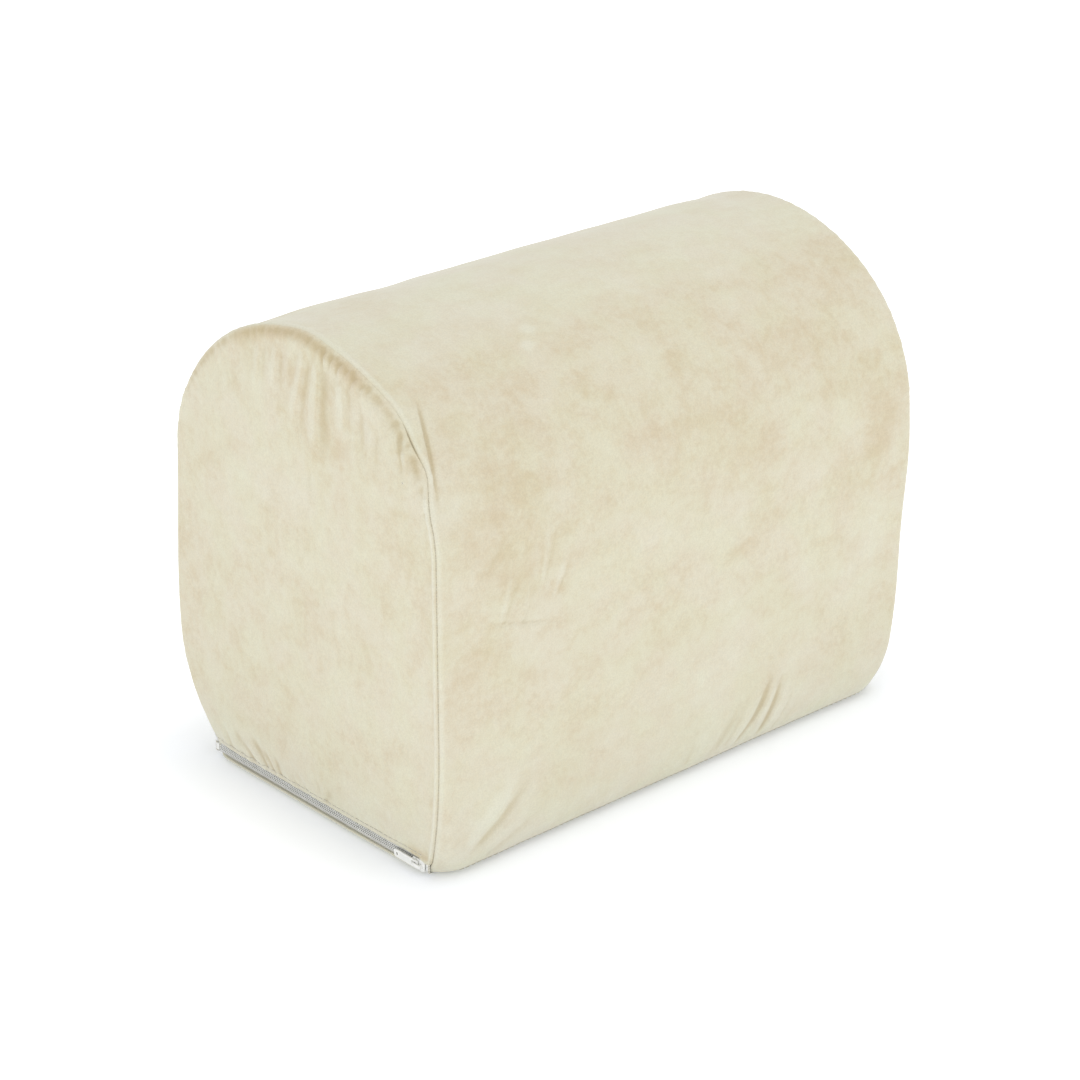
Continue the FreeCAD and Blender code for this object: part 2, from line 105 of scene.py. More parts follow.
# Pulls that shift whole stretches of the cover: centre, reach and shift
PULLS = [
    # the rear upright corner of the zip end bulges
    ((-HALF_LENGTH, HALF_DEPTH, 0.33 * TOP), (45 * MM, 50 * MM, 80 * MM), (-3.2 * MM, 3.2 * MM, 0)),
    # its foot is tucked under
    ((-HALF_LENGTH, HALF_DEPTH + 4 * MM, 0), (26 * MM, 17 * MM, 30 * MM), (9 * MM, -7 * MM, 1.5 * MM)),
    # the front corner of the plain end bulges where the dome begins
    ((HALF_LENGTH, -HALF_DEPTH, 0.56 * TOP), (40 * MM, 45 * MM, 40 * MM), (2.0 * MM, -2.0 * MM, 0)),
]

# Mesh density
SIDE_STEPS = 160                        # up each long side of an end panel
DOME_STEPS = 152                        # across an end panel
LENGTH_STEPS = 256
WRAP_ROLLS = 10                         # rows from a seam to the flat beside it
END_ROLLS = 14
NEAR_SEAM = (0.4, 0.8, 1.3, 1.9, 2.6, 3.4, 4.4, 5.6, 7.0)   # close rows, in millimetres from a rounded rim
BODY_SKIP = 4                           # the inner bodies keep one rim point in so many

# The simulated cloth gives wrinkles, without its overall swell
RELIEF_ROUNDS = 60                      # rounds of averaging that give the overall swell
RELIEF_SHARE = 0.5                      # how much of the wrinkles is kept
RELIEF_CAP = 1.1 * MM                   # and how high they can be
VOXEL = 6 * MM                          # the simulated cloth's mesh size
SEWN_REACH = 9 * MM                     # the simulated cloth is held this near its seams
CLOTH_STEPS = 20                        # how long it is simulated


def smooth(low, high, value):
    """0 below low, 1 above high, with a smooth rise between."""
    t = np.clip((value - low) / (high - low), 0.0, 1.0)
    return t * t * (3 - 2 * t)


def bump(value, centre, width):
    """A rounded bump of height 1."""
    return np.exp(-((value - centre) / width) ** 2)


# ---------------- the cover's base shape

def side_half_depth(z):
    """Half the cushion's depth at a height on its straight sides."""
    below = np.clip((SIDE_ROUND_Z - z) / SIDE_ROUND_Z, 0.0, 1.0)
    return HALF_DEPTH - SIDE_ROUND_Y * (1 - np.sqrt(1 - below ** 2))


def end_half_length(z):
    """Half the cushion's length at a height, with the ends drawn in near the base."""
    drop = DRAW_IN_TOP - DRAW_IN_FOOT
    inward = HALF_LENGTH - FOOT_X
    bend = (drop ** 2 + inward ** 2) / (2 * inward)
    below = np.clip(DRAW_IN_TOP - z, 0.0, drop)
    return HALF_LENGTH - bend + np.sqrt(bend ** 2 - below ** 2)


def corner_radius(z):
    """The rounding of the upright corners at a height."""
    low = np.clip(1 - z / CORNER_BLEND_Z, 0.0, 1.0) ** 2
    return CORNER_RADIUS + (BASE_CORNER_RADIUS - CORNER_RADIUS) * low


def end_reach(y, z):
    """How far the end's surface is from the middle of the cushion at a place low on the end."""
    radius = corner_radius(z)
    past = np.clip(np.abs(y) - (side_half_depth(z) - radius), 0, radius)
    return end_half_length(z) - radius + np.sqrt(radius ** 2 - past ** 2)


def perimeter():
    """Even (y, z) points over the D profile from the front base seam to the rear one, with directions out."""
    start = math.acos(1 - BASE_SEAM_Z / SIDE_ROUND_Z)
    turn = np.linspace(start, math.pi / 2, 80)
    straight_z = np.linspace(SIDE_ROUND_Z, SPRING_Z, 200)[1:]
    side_z = np.concatenate([SIDE_ROUND_Z * (1 - np.cos(turn)), straight_z])
    angle = np.linspace(0, math.pi / 2, 600)[1:]
    dome_y = HALF_DEPTH * np.cos(angle).clip(0) ** (2 / DOME_POWER)
    dome_z = SPRING_Z + DOME_RISE * np.sin(angle) ** (2 / DOME_POWER)
    half_y = np.concatenate([side_half_depth(side_z), dome_y])
    half_z = np.concatenate([side_z, dome_z])
    y = np.concatenate([-half_y, half_y[-2::-1]])
    z = np.concatenate([half_z, half_z[-2::-1]])
    along = np.concatenate([[0], np.cumsum(np.hypot(np.diff(y), np.diff(z)))])
    even = np.linspace(0, along[-1], 2 * SIDE_STEPS + DOME_STEPS + 1)
    y = np.interp(even, along, y)
    z = np.interp(even, along, z)
    out = np.stack([-np.gradient(z), np.gradient(y).clip(0)], 1)
    out[z < SPRING_Z, 1] = 0
    out /= np.linalg.norm(out, axis=1)[:, None]
    return y, z, out, even


RIM_Y, RIM_Z, RIM_OUT, RIM_RUN = perimeter()
RIM_LENGTH = RIM_RUN[-1]


def rim_radius(side):
    """The rounding along an end's rim. It is fuller over the front of the dome at the zip end."""
    radius = corner_radius(RIM_Z)
    if side < 0:
        over_dome = smooth(205 * MM, 235 * MM, RIM_Z) * (1 - smooth(-10 * MM, 45 * MM, RIM_Y))
        radius = radius + over_dome * (3.2 * MM + 4 * MM * bump(RIM_Y, -78 * MM, 20 * MM))
    return radius


def seam_turn(side):
    """Where an arch seam lies on the rounded rim: 0 is the wrap panel's side, a right angle the end's.

    At the zip end it crosses from the end's side towards the wrap's side at the front of the dome.
    """
    on_end, shoulder, crest, rear = (math.radians(turn) for turn in (66, 18, 4, 20))
    if side > 0:
        return np.full_like(RIM_Y, on_end)
    over_front = crest + (shoulder - crest) * (1 - smooth(-25 * MM, 0, RIM_Y))
    over_front += math.radians(9) * bump(RIM_Z, PINCH_Z, 9 * MM)
    front = on_end + (over_front - on_end) * smooth(208 * MM, 236 * MM, RIM_Z)
    back = crest + (rear - crest) * smooth(0, 0.7 * HALF_DEPTH, RIM_Y)
    return np.where(RIM_Y < 0, front, back)


RIM_RADIUS = {side: rim_radius(side) for side in (-1, 1)}
SEAM_TURN = {side: seam_turn(side) for side in (-1, 1)}


def rolled_ring(side, turn, extra=0.0, margin=0.0):
    """The D outline at one angle of an end's rounded edge, and its directions out.

    The extra moves it further in on the end's face; the margin moves the whole surface inwards.
    """
    radius = RIM_RADIUS[side] - margin
    inset = radius * (1 - np.cos(turn)) + extra + margin
    y = RIM_Y - inset * RIM_OUT[:, 0]
    z = RIM_Z - inset * RIM_OUT[:, 1]
    x = end_half_length(z) - margin - radius * (1 - np.sin(turn))
    sine = side * np.sin(turn) * np.ones_like(y)
    cosine = np.cos(turn) * np.ones_like(y)
    outs = np.stack([sine, RIM_OUT[:, 0] * cosine, RIM_OUT[:, 1] * cosine], 1)
    return np.stack([side * x, y, z], 1), outs


def side_swell(points):
    """The long sides and the dome stand out a little between the ends."""
    along = 1 - (points[..., 0] / HALF_LENGTH) ** 2
    upright = np.sin(math.pi / 2 * np.clip(points[..., 2] / SPRING_Z, 0, 1))
    over_dome = 1 - 0.5 * np.clip((points[..., 2] - SPRING_Z) / DOME_RISE, 0, 1)
    return SIDE_CROWN * along * upright * over_dome


def end_swell(distance):
    """The ends stand out a little away from their seam."""
    return END_CROWN * smooth(0, 0.6 * HALF_DEPTH, distance)


def pulled(points):
    """The points moved by the pulls in the cover."""
    moved = points.copy()
    for centre, reach, shift in PULLS:
        weight = np.exp(-(((points - centre) / reach) ** 2).sum(-1))
        moved += weight[..., None] * np.array(shift)
    return moved


def grid_numbers(rows, columns):
    """The vertex numbers of a grid."""
    return np.arange(rows * columns).reshape(rows, columns)


def ring_numbers(count, around):
    """The vertex numbers of closed rings, each with its first number again at its end."""
    index = grid_numbers(count, around)
    return np.concatenate([index, index[:, :1]], 1)


def grid_faces(index):
    """Quads of a grid of vertex numbers."""
    quads = np.stack([index[:-1, :-1], index[:-1, 1:], index[1:, 1:], index[1:, :-1]], -1)
    return quads.reshape(-1, 4)


def filled_patch(left, top, right, bottom):
    """A grid spanned between four edges: left and right run upwards, top and bottom run left to right."""
    s = np.linspace(0, 1, len(bottom))[None, :, None]
    t = np.linspace(0, 1, len(left))[:, None, None]
    sides = (1 - s) * left[:, None] + s * right[:, None]
    ends = (1 - t) * bottom[None] + t * top[None]
    low = (1 - s) * bottom[0] + s * bottom[-1]
    high = (1 - s) * top[0] + s * top[-1]
    return sides + ends - (1 - t) * low - t * high


def place_tree(places):
    """A search tree of places."""
    tree = KDTree(len(places))
    for number, place in enumerate(places):
        tree.insert(place, number)
    tree.balance()
    return tree


def nearest_on(line, points):
    """Each point's distance from a line of places, and the number of the nearest place."""
    tree = place_tree(line)
    found = [tree.find(p) for p in points]
    return np.array([f[2] for f in found]), np.array([f[1] for f in found])


def wrap_surface():
    """The wrap panel: points and directions out in rows along the profile, and distances from both seams."""
    shares = [1 - (k / WRAP_ROLLS) ** 1.6 for k in range(WRAP_ROLLS)]
    columns = [rolled_ring(-1, SEAM_TURN[-1] * share) for share in shares]
    near, out = rolled_ring(-1, 0.0)
    far, _ = rolled_ring(1, 0.0)
    edge = np.array((0.0,) + NEAR_SEAM) * MM / (2 * HALF_LENGTH)
    even = np.linspace(edge[-1], 1 - edge[-1], LENGTH_STEPS + 1)[1:-1]
    columns += [(near * (1 - s) + far * s, out) for s in np.concatenate([edge, even, 1 - edge[::-1]])]
    columns += [rolled_ring(1, SEAM_TURN[1] * share) for share in shares[::-1]]
    points = np.stack([c[0] for c in columns], 1)
    outs = np.stack([c[1] for c in columns], 1)
    steps = np.linalg.norm(np.diff(points, axis=1), axis=2)
    from_near = np.concatenate([np.zeros((len(points), 1)), np.cumsum(steps, 1)], 1)
    from_far = from_near[:, -1:] - from_near
    points += outs * side_swell(points)[..., None]
    return pulled(points), outs, from_near, from_far


def end_surface(side):
    """An end panel: points, directions out, seam distances, runs along the seam, faces and bottom edge."""
    seam = SEAM_TURN[side]
    rings = []
    for k in range(END_ROLLS):
        turn = seam + (math.pi / 2 - seam) * (k / END_ROLLS) ** 1.7
        rings.append((*rolled_ring(side, turn), RIM_RADIUS[side] * (turn - seam)))
    rolled = RIM_RADIUS[side] * (math.pi / 2 - seam)
    for extra in (0.0,) + NEAR_SEAM:
        rings.append((*rolled_ring(side, math.pi / 2, extra * MM), rolled + extra * MM))
    rim, _, rim_distance = rings.pop()
    last = SIDE_STEPS + DOME_STEPS
    left = rim[:SIDE_STEPS + 1]
    right = rim[last:][::-1]
    share = np.linspace(0, 1, DOME_STEPS + 1)[:, None]
    bottom = left[0] * (1 - share) + right[0] * share
    patch = filled_patch(left, rim[SIDE_STEPS:last + 1], right, bottom)
    patch[..., 0] = side * end_half_length(patch[..., 2])
    index = grid_numbers(*patch.shape[:2])
    rim_index = np.concatenate([index[:, 0], index[-1, 1:], index[-2::-1, -1]])
    ring_index = index.size + grid_numbers(len(rings), len(RIM_RUN))
    flat = patch.reshape(-1, 3)
    gap, nearest = nearest_on(rim, flat)
    points = np.concatenate([flat] + [r[0] for r in rings])
    face_out = np.broadcast_to(np.array([side, 0.0, 0.0]), flat.shape)
    outs = np.concatenate([face_out] + [r[1] for r in rings])
    distance = np.concatenate([rim_distance[nearest] + gap] + [r[2] for r in rings])
    run = np.concatenate([RIM_RUN[nearest]] + [RIM_RUN] * len(rings))
    band = grid_faces(np.concatenate([ring_index, rim_index[None]]))[:, ::-1]
    faces = np.concatenate([grid_faces(index), band])
    if side < 0:
        faces = faces[:, ::-1]
    edge = np.concatenate([ring_index[:, 0], index[0], ring_index[::-1, -1]])
    points = pulled(points + outs * end_swell(distance)[:, None])
    return points, outs, distance, run, faces, edge, ring_index[0]


# ---------------- mesh helpers

def new_mesh(name, points, faces, layers=None):
    """A smooth-shaded object from points and faces, with float layers on its points."""
    mesh = bpy.data.meshes.new(name)
    mesh.from_pydata(np.asarray(points).tolist(), [], [list(map(int, face)) for face in faces])
    mesh.validate()
    mesh.polygons.foreach_set("use_smooth", np.ones(len(mesh.polygons), bool))
    for layer, values in (layers or {}).items():
        attribute = mesh.attributes.new(layer, "FLOAT", "POINT")
        attribute.data.foreach_set("value", np.asarray(values, np.float32))
    mesh.update()
    piece = bpy.data.objects.new(name, mesh)
    bpy.context.scene.collection.objects.link(piece)
    return piece


def sheet(name, grid, layers=None):
    """An object from a grid of places."""
    return new_mesh(name, grid.reshape(-1, 3), grid_faces(grid_numbers(*grid.shape[:2])), layers)


def field(points, size, seed, octaves=2):
    """Smooth noise of about -1 to 1 over points, with blobs of the given size."""
    shift = Vector((seed * 7.31, seed * 3.17, seed * 5.71))
    return np.array([noise.fractal(Vector(p) + shift, 1.0, 2.0, octaves) for p in points / size])


def run_waves(run, size, seed):
    """Uneven waves along a seam, about -1 to 1, with the given wave length."""
    chance = np.random.default_rng(seed)
    total = np.zeros_like(run)
    for stretch in (0.62, 0.85, 1.0, 1.27, 1.7):
        total += np.sin(run / (size * stretch) * 2 * math.pi + chance.uniform(0, 2 * math.pi))
    return total / 2.6


# ---------------- folds, seams and marks of the cover

def fold_line(first, second, start, end, width, height, bow=0.0):
    """A soft fold on a face with coordinates first and second: a ridge with a valley on one side.

    It runs from start, where it is sharpest, to end, where it has spread and faded.
    """
    run = np.array(end) - np.array(start)
    length = np.hypot(*run)
    along = ((first - start[0]) * run[0] + (second - start[1]) * run[1]) / length ** 2
    across = ((first - start[0]) * run[1] - (second - start[1]) * run[0]) / length
    across = across - bow * np.sin(np.pi * np.clip(along, 0, 1))
    fade = smooth(-0.06, 0.16, along) * (1 - smooth(0.45, 1.05, along))
    spread = width * (1 + 0.8 * np.clip(along, 0, 1))
    shape = bump(across, 0, spread) - 0.75 * bump(across, 1.7 * spread, 0.9 * spread)
    return height * fade * shape


def dome_z(y):
    """The height of the dome's top at a depth."""
    share = np.clip(np.abs(y) / HALF_DEPTH, 0, 1)
    return SPRING_Z + DOME_RISE * (1 - share ** DOME_POWER) ** (1 / DOME_POWER)


def folds_from(first, second, folds, bow=0.0):
    """The sum of several folds, each given in millimetres as start, end, width and height."""
    total = np.zeros_like(first)
    for start, end, width, height in folds:
        begin = (start[0] * MM, start[1] * MM)
        finish = (end[0] * MM, end[1] * MM)
        total += fold_line(first, second, begin, finish, width * MM, height * MM, bow)
    return total


ARCH_PLEATS = [
    ((33, 268), (38, 240), 2.5, 0.60),
    ((18, 273), (23, 240), 2.8, 0.70),
    ((6, 277), (10, 246), 2.4, 0.50),
    ((-5, 276), (8, 222), 3.0, 0.85),
    ((-15, 275), (-12, 208), 3.1, 0.90),
    ((-24, 271), (-26, 214), 2.6, -0.30),
    ((-35, 266), (-38, 230), 3.0, 0.85),
    ((-46, 259), (-48, 216), 2.8, 0.75),
    ((-60, 250), (-55, 214), 2.6, 0.55),
    ((-10, 213), (-9, 188), 2.4, -0.40),
]


def arch_pleats(y, z):
    """Soft pleats that hang from the arch seam on an end panel, and short deep gathers under the seam."""
    total = folds_from(y, z, ARCH_PLEATS)
    for k, depth in enumerate((0.5, 0.9, 0.8, 1.0, 0.6, 0.7, 0.4)):
        start = np.array([-15 * MM - 6.2 * MM * k, 0])
        start[1] = dome_z(start[0]) - 2 * MM
        inward = np.array([0, SPRING_Z - 10 * MM]) - start
        end = start + inward / np.hypot(*inward) * 11 * MM
        total -= fold_line(y, z, start, end, 1.3 * MM, depth * MM)
    return total


PINCH_FOLDS = [
    ((-79, 251), (-84, 227), 1.3, -1.0),
    ((-90, 241), (-95, 226), 0.9, -0.3),
]


def pinch_line(distance, y, z):
    """The stretch where the arch seam at the zip end is pulled in deeply."""
    return -1.2 * MM * np.exp(-distance / (0.6 * MM)) * bump(z, PINCH_Z, 7 * MM) * (y < 0)


HEM_FOLDS = [
    ((42, 12), (55, 32), 2.2, -1.1),
    ((35, 11), (44, 27), 1.8, -0.9),
    ((30, 11), (35, 27), 1.6, -0.8),
    ((54, 11), (70, 30), 2.2, -0.6),
    ((-9, 10), (-17, 25), 1.8, -0.6),
]


def hem_gathers(y, z):
    """Short gathers that rise from the bottom edge of an end panel, mostly towards the rear."""
    chance = np.random.default_rng(23)
    total = folds_from(y, z, HEM_FOLDS)
    for k in range(12):
        start_y = (74 - 10.4 * k + chance.uniform(-2, 2)) * MM
        reach = chance.uniform(12, 24) * MM
        lean = chance.uniform(3, 12) * MM
        height = chance.uniform(-0.7, 0.45) * MM
        total += fold_line(y, z, (start_y, HEM_Z), (start_y + lean, HEM_Z + reach), 1.9 * MM, height)
    return total


def side_gathers(x, z):
    """Gathers that lean along the bottom of a long side, strongest between its middle and the plain end."""
    chance = np.random.default_rng(31)
    total = np.zeros_like(x)
    for k in range(24):
        start_x = (-96 + 9.4 * k + chance.uniform(-3, 3)) * MM
        strong = bump(start_x, 52 * MM, 40 * MM)
        reach = (16 + 30 * strong) * chance.uniform(0.7, 1.2) * MM
        lean = (5 + 17 * strong) * chance.uniform(0.5, 1.2) * MM
        width = chance.uniform(1.6, 2.8) * MM
        height = (0.22 + 1.0 * strong) * chance.choice((-1.0, -0.8, -0.6, 0.5)) * MM
        total += fold_line(x, z, (start_x, 6 * MM), (start_x + lean, 6 * MM + reach), width, height, 2 * MM)
    return total


SIDE_CREASES = [
    ((-102, 147), (-90, 180), 1.6, 0.60),
    ((-110, 158), (-102, 200), 1.8, 0.55),
    ((-126, 138), (-114, 174), 1.8, 0.40),
    ((-139, 144), (-128, 180), 2.2, 0.60),
    ((-147, 174), (-129, 198), 2.2, -0.45),
    ((-147, 148), (-84, 133), 1.0, -0.55),
    ((-160, 18), (-116, 66), 4.2, 1.00),
    ((-150, 10), (-100, 40), 3.4, 0.60),
    ((20, 96), (62, 126), 2.2, 0.35),
]


def over_dome(z):
    """1 on the arch seams over the dome, 0 along their uprights."""
    return smooth(SPRING_Z + 25 * MM, SPRING_Z + 52 * MM, z)


def seam_profile(distance, z, on_end):
    """The cloth's height beside a seam.

    Along the uprights it is a narrow crease, with a roll of turned-in cloth on the end's side. Over the
    dome the wrap panel makes a low lip and the end panel dives under it.
    """
    crease = -0.80 * np.exp(-distance / (0.40 * MM))
    tuck = -0.10 * np.exp(-distance / (0.5 * MM))
    if on_end:
        roll = 0.65 * bump(distance, 1.8 * MM, 0.9 * MM)
        upright = crease + roll - 0.22 * bump(distance, 4.2 * MM, 1.1 * MM)
        dome = tuck - 0.65 * bump(distance, 3.9 * MM, 3.0 * MM) * smooth(0, 2.5 * MM, distance)
    else:
        upright = crease + 0.12 * bump(distance, 1.9 * MM, 1.1 * MM)
        dome = tuck + 0.40 * bump(distance, 1.8 * MM, 1.3 * MM) * smooth(0, 1.2 * MM, distance)
    return MM * (upright * (1 - over_dome(z)) + dome * over_dome(z))


def seam_painted_shade_and_highlight(distance, y, z, on_end):
    """Painted light beside an arch seam: painted tan shade under its lip on the end panel, painted highlight
    on the lip and on the roll.
    """
    if on_end:
        middle = smooth(252 * MM, 266 * MM, z) * (1 - smooth(40 * MM, 58 * MM, np.abs(y)))
        # painted tan shade in the hollow under the seam's lip
        shade = -0.62 * bump(distance, 4.4 * MM, 4.4 * MM) * middle
        # painted highlight on the roll beside the upright seam
        return shade + 0.25 * bump(distance, 1.8 * MM, 1.0 * MM) * (1 - over_dome(z))
    # painted highlight on the wrap panel's lip
    return 0.30 * bump(distance, 1.6 * MM, 1.5 * MM)


def seam_puckers(run, distance, seed, reach, height):
    """Small puckers across a seam, dying out with distance from it."""
    waves = run_waves(run, 7.5 * MM, seed) + 0.5 * run_waves(run, 15 * MM, seed + 1)
    rise = smooth(0, 2.5 * MM, distance)
    return height * waves * rise * np.exp(-distance / reach)


def soft_swell(points):
    """The slow unevenness of a foam block under cloth."""
    return 0.55 * MM * field(points, 90 * MM, 3) + 0.16 * MM * field(points, 22 * MM, 5)


def wrap_crease(points):
    """The long crease on the wrap panel beside the pinched place in the arch seam."""
    share = np.linspace(0, 1, 70)
    y = (-69 - 38 * share) * MM
    x = -155 * MM + 0.46 * (y + 70 * MM)
    line = np.stack([x, y, dome_z(y)], 1)
    middle = line[len(line) // 2]
    height = np.zeros(len(points))
    close = np.linalg.norm(points - middle, axis=1) < 50 * MM
    found, nearest = nearest_on(line, points[close])
    fade = np.sin(np.pi * (0.04 + 0.92 * share[nearest]))
    height[close] = fade * (0.3 * bump(found, 3.4 * MM, 1.5 * MM) - 1.4 * bump(found, 0, 1.5 * MM))
    return height * MM


# Darker and paler patches of the velour's colour: nap patches and scuffs, some of them painted shade
TONE_AND_PAINTED_SHADE_MARKS = [
    # on the front side or the dome: x, y, z, reach along x, reach around, tone
    (-128, -112, 205, 30, 38, -0.28),
    (153, -112, 186, 14, 40, -0.22),
    (-142, -112, 36, 30, 10, 0.25),
    (-72, -60, 266, 5, 3, 1.2),
    (-64, -52, 271, 4, 3, 1.0),
    (-150, -112, 120, 26, 30, -0.12),
    (40, -112, 190, 60, 26, -0.12),
    (100, -104, 236, 40, 26, -0.08),
    (20, -112, 60, 60, 26, 0.14),
    # on the zip end: painted shade under the arch seam, and a paler patch across the middle
    (-177, 22, 281, 9, 14, -0.20),
    (-178, -20, 252, 10, 26, -0.16),
    (-178, 36, 214, 14, 30, 0.10),
    # painted shade in the tucked corner above the slider
    (-174, -84, 12, 14, 6, -0.7),
    (-174, -95, 12, 14, 6, -0.7),
]


def marked_tone_and_painted_light(points):
    """Where the velour's colour is made darker (below zero) or paler (above zero): nap patches and scuffs,
    painted shade under the zip end's arch seam and in its tucked corner, and painted highlight along the
    crest and low down.
    """
    z = points[:, 2]
    # a slight shift paler towards the base and darker towards the top, painted highlight along the dome's
    # crest, and painted light low down where the floor shades the cloth
    total = 0.08 * (0.5 - z / TOP) + 0.30 * smooth(0.94 * TOP, TOP, z) + 0.30 * (1 - smooth(0, 42 * MM, z))
    for x, y, z, along, around, tone_and_painted_light in TONE_AND_PAINTED_SHADE_MARKS:
        far_x = (points[:, 0] / MM - x) / along
        far_around = np.hypot(points[:, 1] / MM - y, points[:, 2] / MM - z) / around
        total += tone_and_painted_light * np.exp(-far_x ** 2 - far_around ** 2)
    return total


# ---------------- inner bodies

def closed_rings(margin, floor):
    """Rings of a closed body a margin inside the cover, from the zip end to the plain end."""
    keep = slice(None, None, BODY_SKIP)
    base_share = np.linspace(0, 1, 34)[1:-1, None]

    def closed(ring):
        arch = ring[keep].copy()
        across = arch[-1] * (1 - base_share) + arch[0] * base_share
        whole = np.concatenate([arch, across])
        whole[:, 2] = np.where(np.arange(len(whole)) < len(arch), np.maximum(whole[:, 2], floor), floor)
        return whole

    middle = np.array([0, 0, 0.45 * TOP])
    ends = []
    for side in (-1, 1):
        face, _ = rolled_ring(side, math.pi / 2, 0, margin)
        face = closed(face)
        rings = []
        for scale in (0.05, 0.25, 0.45, 0.65, 0.82, 0.94):
            ring = middle + (face - middle) * scale
            reach = end_half_length(ring[:, 2]) - margin + end_swell(HALF_DEPTH * (1 - scale))
            ring[:, 0] = side * reach
            rings.append(ring)
        rings.append(face)
        for turn in (60, 30):
            rings.append(closed(rolled_ring(side, math.radians(turn), 0, margin)[0]))
        ends.append(rings)
    near, out = rolled_ring(-1, 0.0, 0, margin)
    far, _ = rolled_ring(1, 0.0, 0, margin)
    length = []
    for share in np.linspace(0, 1, 49):
        ring = near * (1 - share) + far * share
        length.append(closed(ring + out * side_swell(ring)[:, None]))
    return np.stack(ends[0] + length + ends[1][::-1])


def relieve_zip(points):
    """The points moved to make room behind the zip and over its lower tape."""
    x, z = points[..., 0], points[..., 2]
    low = 1 - smooth(SLIDER_HIGH.z + 6 * MM, SLIDER_HIGH.z + 18 * MM, z)
    limit = SLIDER_HIGH.x + 1.2 * MM
    points[..., 0] = np.where(x < limit, x + (limit - x) * low, x)
    over_tape = smooth(-LOWER_TAPE_HIGH.x - 5 * MM, -LOWER_TAPE_HIGH.x - 1 * MM, -points[..., 0])
    lift = LOWER_TAPE_HIGH.z + 0.8 * MM
    points[..., 2] = np.where(z < lift, z + (lift - z) * over_tape, z)
    return points


def closed_body(name, margin, floor):
    """A closed body of the cushion's shape with its room for the zip."""
    rings = relieve_zip(pulled(closed_rings(margin, floor)))
    index = ring_numbers(*rings.shape[:2])
    points = rings.reshape(-1, 3)
    poles = np.stack([rings[0].mean(0), rings[-1].mean(0)])
    faces = [list(face) for face in grid_faces(index)]
    for pole, ring, flip in ((len(points), index[0], 1), (len(points) + 1, index[-1], -1)):
        faces += [[pole, a, b][::flip] for a, b in zip(ring[:-1], ring[1:])]
    return new_mesh(name, np.concatenate([points, poles]), faces)


# ---------------- cloth simulation of the cover

def simulated_wrinkles():
    """Swells a closed cloth body of the cushion's shape, sewn down along its seams.
    """
    body = closed_body("cloth_body", 2 * MM, 2 * MM)
    remesh = body.modifiers.new("remesh", "REMESH")
    remesh.mode = "VOXEL"
    remesh.voxel_size = VOXEL
    bpy.context.view_layer.objects.active = body
    bpy.ops.object.modifier_apply(modifier=remesh.name)
    start = vertex_places(body)
    seams = np.concatenate([rolled_ring(side, SEAM_TURN[side])[0] for side in (-1, 1)])
    gap, _ = nearest_on(seams, start)
    held = body.vertex_groups.new(name="sewn")
    for number in np.nonzero((gap < SEWN_REACH) | (start[:, 2] < 8 * MM))[0]:
        held.add([int(number)], 1.0, "REPLACE")
    cloth = body.modifiers.new("cloth", "CLOTH")
    settings = cloth.settings
    settings.quality = 6
    settings.mass = 0.25
    settings.tension_stiffness = 12
    settings.compression_stiffness = 12
    settings.bending_stiffness = 0.6
    settings.use_pressure = True
    settings.uniform_pressure_force = 4
    settings.shrink_min = -0.012
    settings.effector_weights.gravity = 0
    settings.vertex_group_mass = held.name
    for step in range(1, CLOTH_STEPS + 1):
        bpy.context.scene.frame_set(step)
    bpy.ops.object.modifier_apply(modifier=cloth.name)
    bpy.context.scene.frame_set(1)
    moved = vertex_places(body) - start
    normals = np.zeros(len(start) * 3)
    body.data.vertex_normals.foreach_get("vector", normals)
    out = (moved * normals.reshape(-1, 3)).sum(1)
    edges = np.zeros(len(body.data.edges) * 2, int)
    body.data.edges.foreach_get("vertices", edges)
    edges = edges.reshape(-1, 2)
    fine = evened(out, edges, 3)
    bpy.data.objects.remove(body)
    return start, fine - evened(fine, edges, RELIEF_ROUNDS)


def vertex_places(piece):
    """The vertices of an object as an array."""
    places = np.zeros(len(piece.data.vertices) * 3)
    piece.data.vertices.foreach_get("co", places)
    return places.reshape(-1, 3)


def evened(values, edges, rounds):
    """Values on vertices averaged with those of their neighbours."""
    for _ in range(rounds):
        total = values.copy()
        count = np.ones_like(values)
        for a, b in ((0, 1), (1, 0)):
            np.add.at(total, edges[:, a], values[edges[:, b]])
            np.add.at(count, edges[:, a], 1)
        values = total / count
    return values


def wrinkles_at(points, simulated):
    """The simulated wrinkles at other points, from the four nearest simulated ones."""
    if simulated is None:
        return np.zeros(len(points))
    start, out = simulated
    tree = place_tree(start)
    values = np.zeros(len(points))
    for number, point in enumerate(points):
        near = tree.find_n(point, 4)
        weights = [1 / (hit[2] + 1 * MM) ** 2 for hit in near]
        values[number] = sum(w * out[hit[1]] for w, hit in zip(weights, near)) / sum(weights)
    return RELIEF_CAP * np.tanh(RELIEF_SHARE * values / RELIEF_CAP)


# ---------------- cover panels

